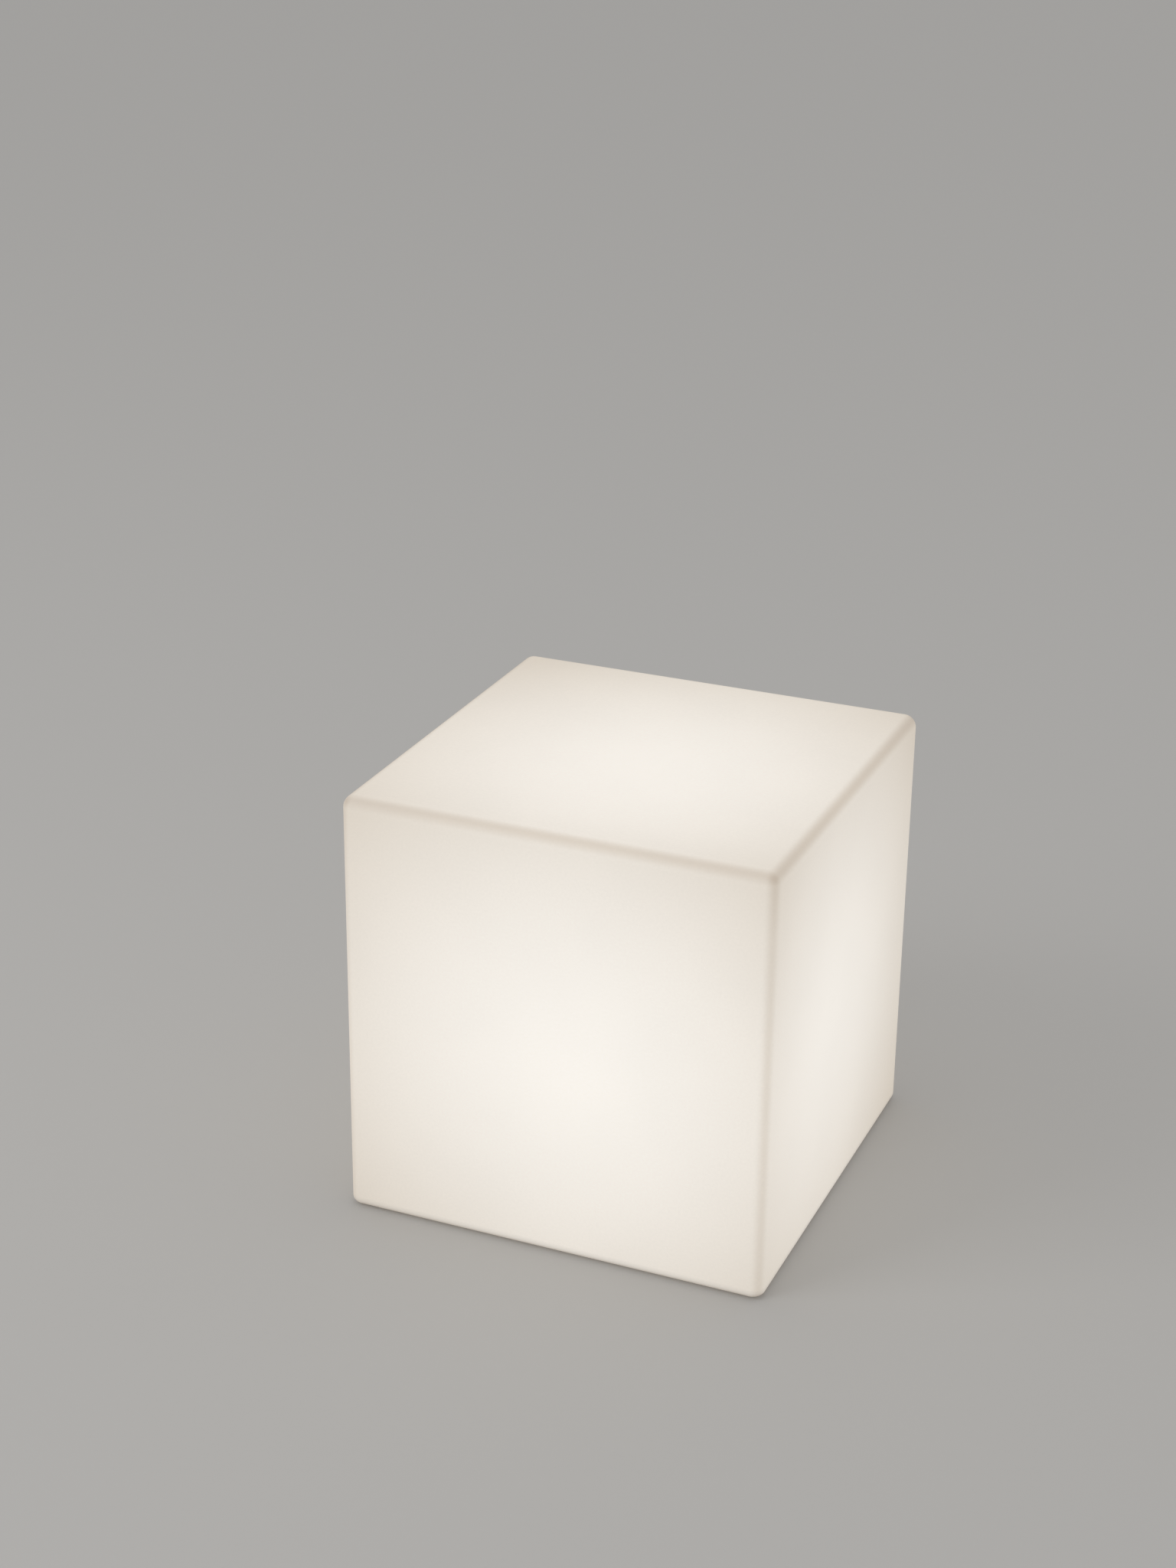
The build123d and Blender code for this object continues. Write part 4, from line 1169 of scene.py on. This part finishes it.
class MakeElectrics(Operator):
    """Cells, wires and what stands on the control board"""

    bl_idname = "cube_lamp.make_electrics"
    bl_label = "Electrics"

    chip_places = ((-3, -30), (10, -43), (42, -36))
    plug_places = ((-8, -22), (6, -24), (-12, -37.5))

    def cells(self, s):
        """Sleeved cans with a rolled groove, and their bright ends."""
        ends = []
        for number in (1, 2):
            solid = f"battery_cell_{number}"
            low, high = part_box(solid)
            radius, length = (high.x - low.x) / 2, high.y - low.y - s.cap_height
            outline = [
                (0.5 * MM, 0.25 * MM),
                (radius - 1.6 * MM, 0.25 * MM),
                (radius - 1.5 * MM, 0),
                (radius, 0),
                (radius, length - 3.6 * MM),
                (radius - 0.5 * MM, length - 3 * MM),
                (radius, length - 2.4 * MM),
                (radius, length),
                (radius - 1.5 * MM, length),
                (radius - 1.6 * MM, length - 0.25 * MM),
                (0.5 * MM, length - 0.25 * MM),
            ]
            stand = Matrix.Translation(((low.x + high.x) / 2, low.y, (low.z + high.z) / 2))
            stand = stand @ Matrix.Rotation(-QUARTER, 4, "X")
            can = placed(turned_form(softened(outline, 0.4 * MM), 72), stand)
            make_piece(f"round_cell_{number}", can, "cell_wrap", stands_for=(solid,))
            base = [(0.5 * MM, 0.08 * MM), (radius - 1.7 * MM, 0.08 * MM), (radius - 1.7 * MM, 0.3 * MM)]
            top, crown = length - 0.2 * MM, length + s.cap_height
            cap = [(radius - 1.8 * MM, top - 0.2 * MM), (radius - 1.8 * MM, top), (s.cap_radius + 0.6 * MM, top)]
            cap += [(s.cap_radius, crown - 0.1 * MM), (s.cap_radius - 0.3 * MM, crown), (0.5 * MM, crown)]
            ends += [placed(turned_form(softened(end, 0.3 * MM), 48), stand) for end in (base, cap)]
        solids = ("battery_cell_1", "battery_cell_2")
        make_piece("cell_ends", together(ends), "nickel", stands_for=solids)

    def leads(self, s):
        """Round wires in the runs of their solids, and the cable that bends up into the stem."""
        low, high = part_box("battery_lead")
        height, normal = (low.z + high.z) / 2, (0, 0, 1)
        sides = (low.x + s.lead_radius, high.x - s.lead_radius)
        runs = [[(x, low.y, height), (x, high.y, height)] for x in sides]
        wires = together([tube_form(run, s.lead_radius, normal) for run in runs])
        make_piece("battery_wires", wires, "wire_insulation", stands_for=("battery_lead",))
        low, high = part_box("jack_lead")
        height, sides = (low.z + high.z) / 2, (low.y + s.lead_radius, high.y - s.lead_radius)
        runs = [[(low.x, y, height), (high.x, y, height)] for y in sides]
        wires = together([tube_form(run, s.lead_radius, normal) for run in runs])
        make_piece("jack_wires", wires, "wire_insulation", stands_for=("jack_lead",))
        low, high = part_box("lamp_lead")
        start = Vector((*self.plug_places[1], 0)) * MM
        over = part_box("module_cover")[0].z - 2 * s.cable_radius
        route = [(*start.xy, low.z), (*start.xy, over), (0, 0, over), (0, 0, high.z)]
        normal = Vector((0, 0, 1)).cross(start).normalized()
        cable = tube_form(softened(route, s.cable_bend, 10), s.cable_radius, normal, 20)
        make_piece("lamp_cable", cable, "wire_insulation", stands_for=("lamp_lead",))

    def chip(self, s):
        """Moulded body with four bent legs along each side."""
        wide, deep, high = s.chip_size
        body = soft_block((-0.38 * wide, -deep / 2, 0.2 * MM), (0.38 * wide, deep / 2, high), 0.2 * MM, 0.12 * MM)
        bend = [(0.34, 0.5), (0.42, 0.5), (0.45, 0.08), (0.5, 0.05)]
        leg = strip_form([(wide * x, high * z) for x, z in bend], 0.12 * MM, 0.4 * MM)
        turns = (Matrix.Identity(4), Matrix.Rotation(math.pi, 4, "Z"))
        rows = [deep * (n - 1.5) / 5 for n in range(4)]
        legs = [placed(shifted(leg, 0, y), turn) for turn in turns for y in rows]
        return body, together(legs)

    def board_parts(self, s):
        """Chips, wire connectors, inductor and capacitor on the upper side of the control board."""
        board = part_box("control_board")[1].z
        body, legs = self.chip(s)
        spots = [Matrix.Translation((x * MM, y * MM, board)) for x, y in self.chip_places]
        bodies = together([placed(body, spot) for spot in spots])
        make_piece("chip_bodies", bodies, "dark_plastic", stands_for=("board_chips",), crease=30)
        legs = together([placed(legs, spot) for spot in spots])
        make_piece("chip_legs", legs, "nickel", stands_for=("board_chips",), crease=30)
        half = Vector(s.plug_size) / 2
        plug = soft_block((-half.x, -half.y, 0), (half.x, half.y, 2 * half.z), 0.9 * MM, 0.25 * MM, 0.8 * MM, 0.8 * MM)
        plugs = together([shifted(plug, x * MM, y * MM, board) for x, y in self.plug_places])
        make_piece("wire_connectors", plugs, "white_plastic", stands_for=("board_plugs",), crease=30)

        low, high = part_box("inductor")
        half, tall = (high.x - low.x) / 2, high.z - low.z
        stations = [(half - 0.3 * MM, 1.5 * MM, 0), (half, 1.8 * MM, 0.3 * MM), (half, 1.8 * MM, tall - 0.3 * MM)]
        stations += [(half - 0.3 * MM, 1.5 * MM, tall), (0.75 * half, 0.75 * half, tall)]
        stations += [(0.7 * half, 0.7 * half, tall - 0.6 * MM), (0.4 * half, 0.4 * half, tall - 0.6 * MM)]
        stations += [(0.38 * half, 0.38 * half, tall - 0.1 * MM), (0.1 * half, 0.1 * half, tall - 0.1 * MM)]
        coil = shifted(ring_form(square_rings(stations, even_angles(64))), *middle_of("inductor"), low.z)
        make_piece("wound_inductor", coil, "dark_plastic", stands_for=("inductor",), crease=30)

        low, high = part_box("capacitor")
        radius = (high.x - low.x) / 2
        outline = [
            (0.4 * MM, low.z),
            (radius, low.z),
            (radius, low.z + 1.4 * MM),
            (radius - 0.35 * MM, low.z + 2 * MM),
            (radius, low.z + 2.6 * MM),
            (radius, high.z),
            (radius - 0.9 * MM, high.z),
            (radius - 1 * MM, high.z - 0.2 * MM),
            (0.4 * MM, high.z - 0.2 * MM),
        ]
        can = shifted(turned_form(softened(outline, 0.35 * MM), 48), *middle_of("capacitor"))
        make_piece("crimped_capacitor", can, "aluminium", stands_for=("capacitor",))

    def execute(self, context):
        s = context.scene.cube_lamp_electrics
        self.cells(s)
        self.leads(s)
        self.board_parts(s)
        return {"FINISHED"}


class DressNodes(Operator):
    """Gives every solid that stays in view the finish of its slot, and softens its edges"""

    bl_idname = "cube_lamp.dress_nodes"
    bl_label = "Solids"

    def soften(self, solid):
        """Joins the loose triangles into flat faces, then rounds their edges by a hair."""
        weld = solid.modifiers.new("join", "WELD")
        weld.merge_threshold = 0.002 * MM
        flat = solid.modifiers.new("flatten", "DECIMATE")
        flat.decimate_type, flat.angle_limit = "DISSOLVE", math.radians(1)
        edge = solid.modifiers.new("soften", "BEVEL")
        edge.width, edge.segments = 0.2 * MM, 2
        edge.limit_method, edge.angle_limit = "ANGLE", math.radians(35)
        edge.harden_normals = True
        edge.use_clamp_overlap = True

    def execute(self, context):
        slots = {entry["node"]: entry["material_slot"] for entry in frame["record"]["subparts"]}
        for name, solid in frame["nodes"].items():
            if solid.hide_render:
                continue
            for material_slot in solid.material_slots:
                material_slot.material = finish_of(slots[name])
            self.soften(solid)
        return {"FINISHED"}


class MakeStage(Operator):
    """Pale floor, soft lamps, even sky and the camera"""

    bl_idname = "cube_lamp.make_stage"
    bl_label = "Stage"

    def floor(self, s):
        """Floor that shows from above only, keeps the cube's shadow and lets some of the sky's light past it."""
        half, drop = s.floor_size / 2, -s.floor_drop
        mesh = bpy.data.meshes.new("floor")
        corners = [(-half, -half, drop), (half, -half, drop), (half, half, drop), (-half, half, drop)]
        mesh.from_pydata(corners, [], [(0, 1, 2, 3)])
        floor = bpy.data.objects.new("floor", mesh)
        bpy.context.scene.collection.objects.link(floor)
        material, tree, shader = new_finish("pale_floor", s.floor_colour, 0.9, Specular_IOR_Level=0.1)
        path = node(tree, "LightPath").outputs
        below = node(tree, "NewGeometry").outputs["Backfacing"]
        bounced = maths(tree, "MAXIMUM", path["Is Diffuse Ray"], path["Is Shadow Ray"])
        hidden = maths(tree, "MAXIMUM", below, maths(tree, "MULTIPLY", bounced, s.floor_passes))
        clear = node(tree, "BsdfTransparent").outputs[0]
        mix = node(tree, "MixShader", {0: hidden, 1: shader.outputs[0], 2: clear})
        tree.links.new(mix.outputs[0], tree.nodes["Material Output"].inputs["Surface"])
        mesh.materials.append(material)

    def sky(self, s):
        """Even light from all round, with the backdrop's colour where the camera or a gloss sees it."""
        world = bpy.data.worlds.new("even_sky")
        bpy.context.scene.world = world
        world.use_nodes = True
        tree = world.node_tree
        path = node(tree, "LightPath").outputs
        seen = maths(tree, "MAXIMUM", path["Is Camera Ray"], path["Is Glossy Ray"])
        seen = maths(tree, "MAXIMUM", seen, path["Is Transmission Ray"])
        light = node(tree, "Background", {"Color": (1, 1, 1, 1), "Strength": s.sky_strength}).outputs[0]
        shown = node(tree, "Background", {"Color": (*s.backdrop_colour, 1), "Strength": 1.0}).outputs[0]
        mix = node(tree, "MixShader", {0: seen, 1: light, 2: shown})
        tree.links.new(mix.outputs[0], tree.nodes["World Output"].inputs["Surface"])

    def lamp(self, name, watts, side, place, target):
        """Square soft lamp that faces a target."""
        light = bpy.data.lights.new(name, "AREA")
        light.energy, light.size = watts, side
        lamp = bpy.data.objects.new(name, light)
        lamp.location = place
        lamp.rotation_euler = (Vector(target) - Vector(place)).to_track_quat("-Z", "Y").to_euler()
        bpy.context.scene.collection.objects.link(lamp)

    def camera(self, s):
        """Camera turned by its bearing, dip and roll: R = Rz(bearing) Rx(90 deg - dip) Rz(roll)."""
        data = bpy.data.cameras.new("camera")
        data.lens, data.sensor_width = s.focal_length, 36
        camera = bpy.data.objects.new("camera", data)
        turn = Matrix.Rotation(s.camera_bearing, 4, "Z") @ Matrix.Rotation(QUARTER - s.camera_dip, 4, "X")
        turn = turn @ Matrix.Rotation(s.camera_roll, 4, "Z")
        camera.matrix_world = Matrix.Translation(s.camera_place) @ turn
        bpy.context.scene.collection.objects.link(camera)
        bpy.context.scene.camera = camera

    def execute(self, context):
        s = context.scene.cube_lamp_stage
        low, high = CAD_BOX
        middle = (low + high) / 2
        self.floor(s)
        self.sky(s)
        self.lamp("key_lamp", s.key_watts, 2.0, (-2.2, -2.4, 2.6), middle)
        self.lamp("top_lamp", s.top_watts, 2.4, (0.6, 0.4, 3.2), middle)
        self.camera(s)
        context.scene.view_settings.view_transform = "Standard"
        return {"FINISHED"}


class CubeLampPanel(Panel):
    """Buttons that build the lamp piece by piece"""

    bl_idname = "VIEW3D_PT_cube_lamp"
    bl_label = "Cube Lamp"
    bl_space_type = "VIEW_3D"
    bl_region_type = "UI"
    bl_category = "Cube Lamp"

    def draw(self, context):
        column = self.layout.column()
        for operator in OPERATORS:
            column.operator(operator.bl_idname)


SETTINGS = {
    "cube_lamp_shell": ShellSettings,
    "cube_lamp_feet": FootSettings,
    "cube_lamp_fasteners": FastenerSettings,
    "cube_lamp_controls": ControlSettings,
    "cube_lamp_head": LampHeadSettings,
    "cube_lamp_electrics": ElectricSettings,
    "cube_lamp_stage": StageSettings,
}
OPERATORS = (
    MakeShell,
    MakeFeet,
    MakeFasteners,
    MakeSeals,
    MakeControls,
    MakeLampHead,
    MakeElectrics,
    DressNodes,
    MakeStage,
)


def register():
    for settings in SETTINGS.values():
        bpy.utils.register_class(settings)
    for name, settings in SETTINGS.items():
        setattr(bpy.types.Scene, name, PointerProperty(type=settings))
    for made in (*OPERATORS, CubeLampPanel):
        bpy.utils.register_class(made)


def unregister():
    for made in (CubeLampPanel, *reversed(OPERATORS)):
        bpy.utils.unregister_class(made)
    for name, settings in reversed(SETTINGS.items()):
        delattr(bpy.types.Scene, name)
        bpy.utils.unregister_class(settings)


def main():
    register()
    for operator in OPERATORS:
        group, name = operator.bl_idname.split(".")
        getattr(getattr(bpy.ops, group), name)()


if __name__ == "__main__":
    main()
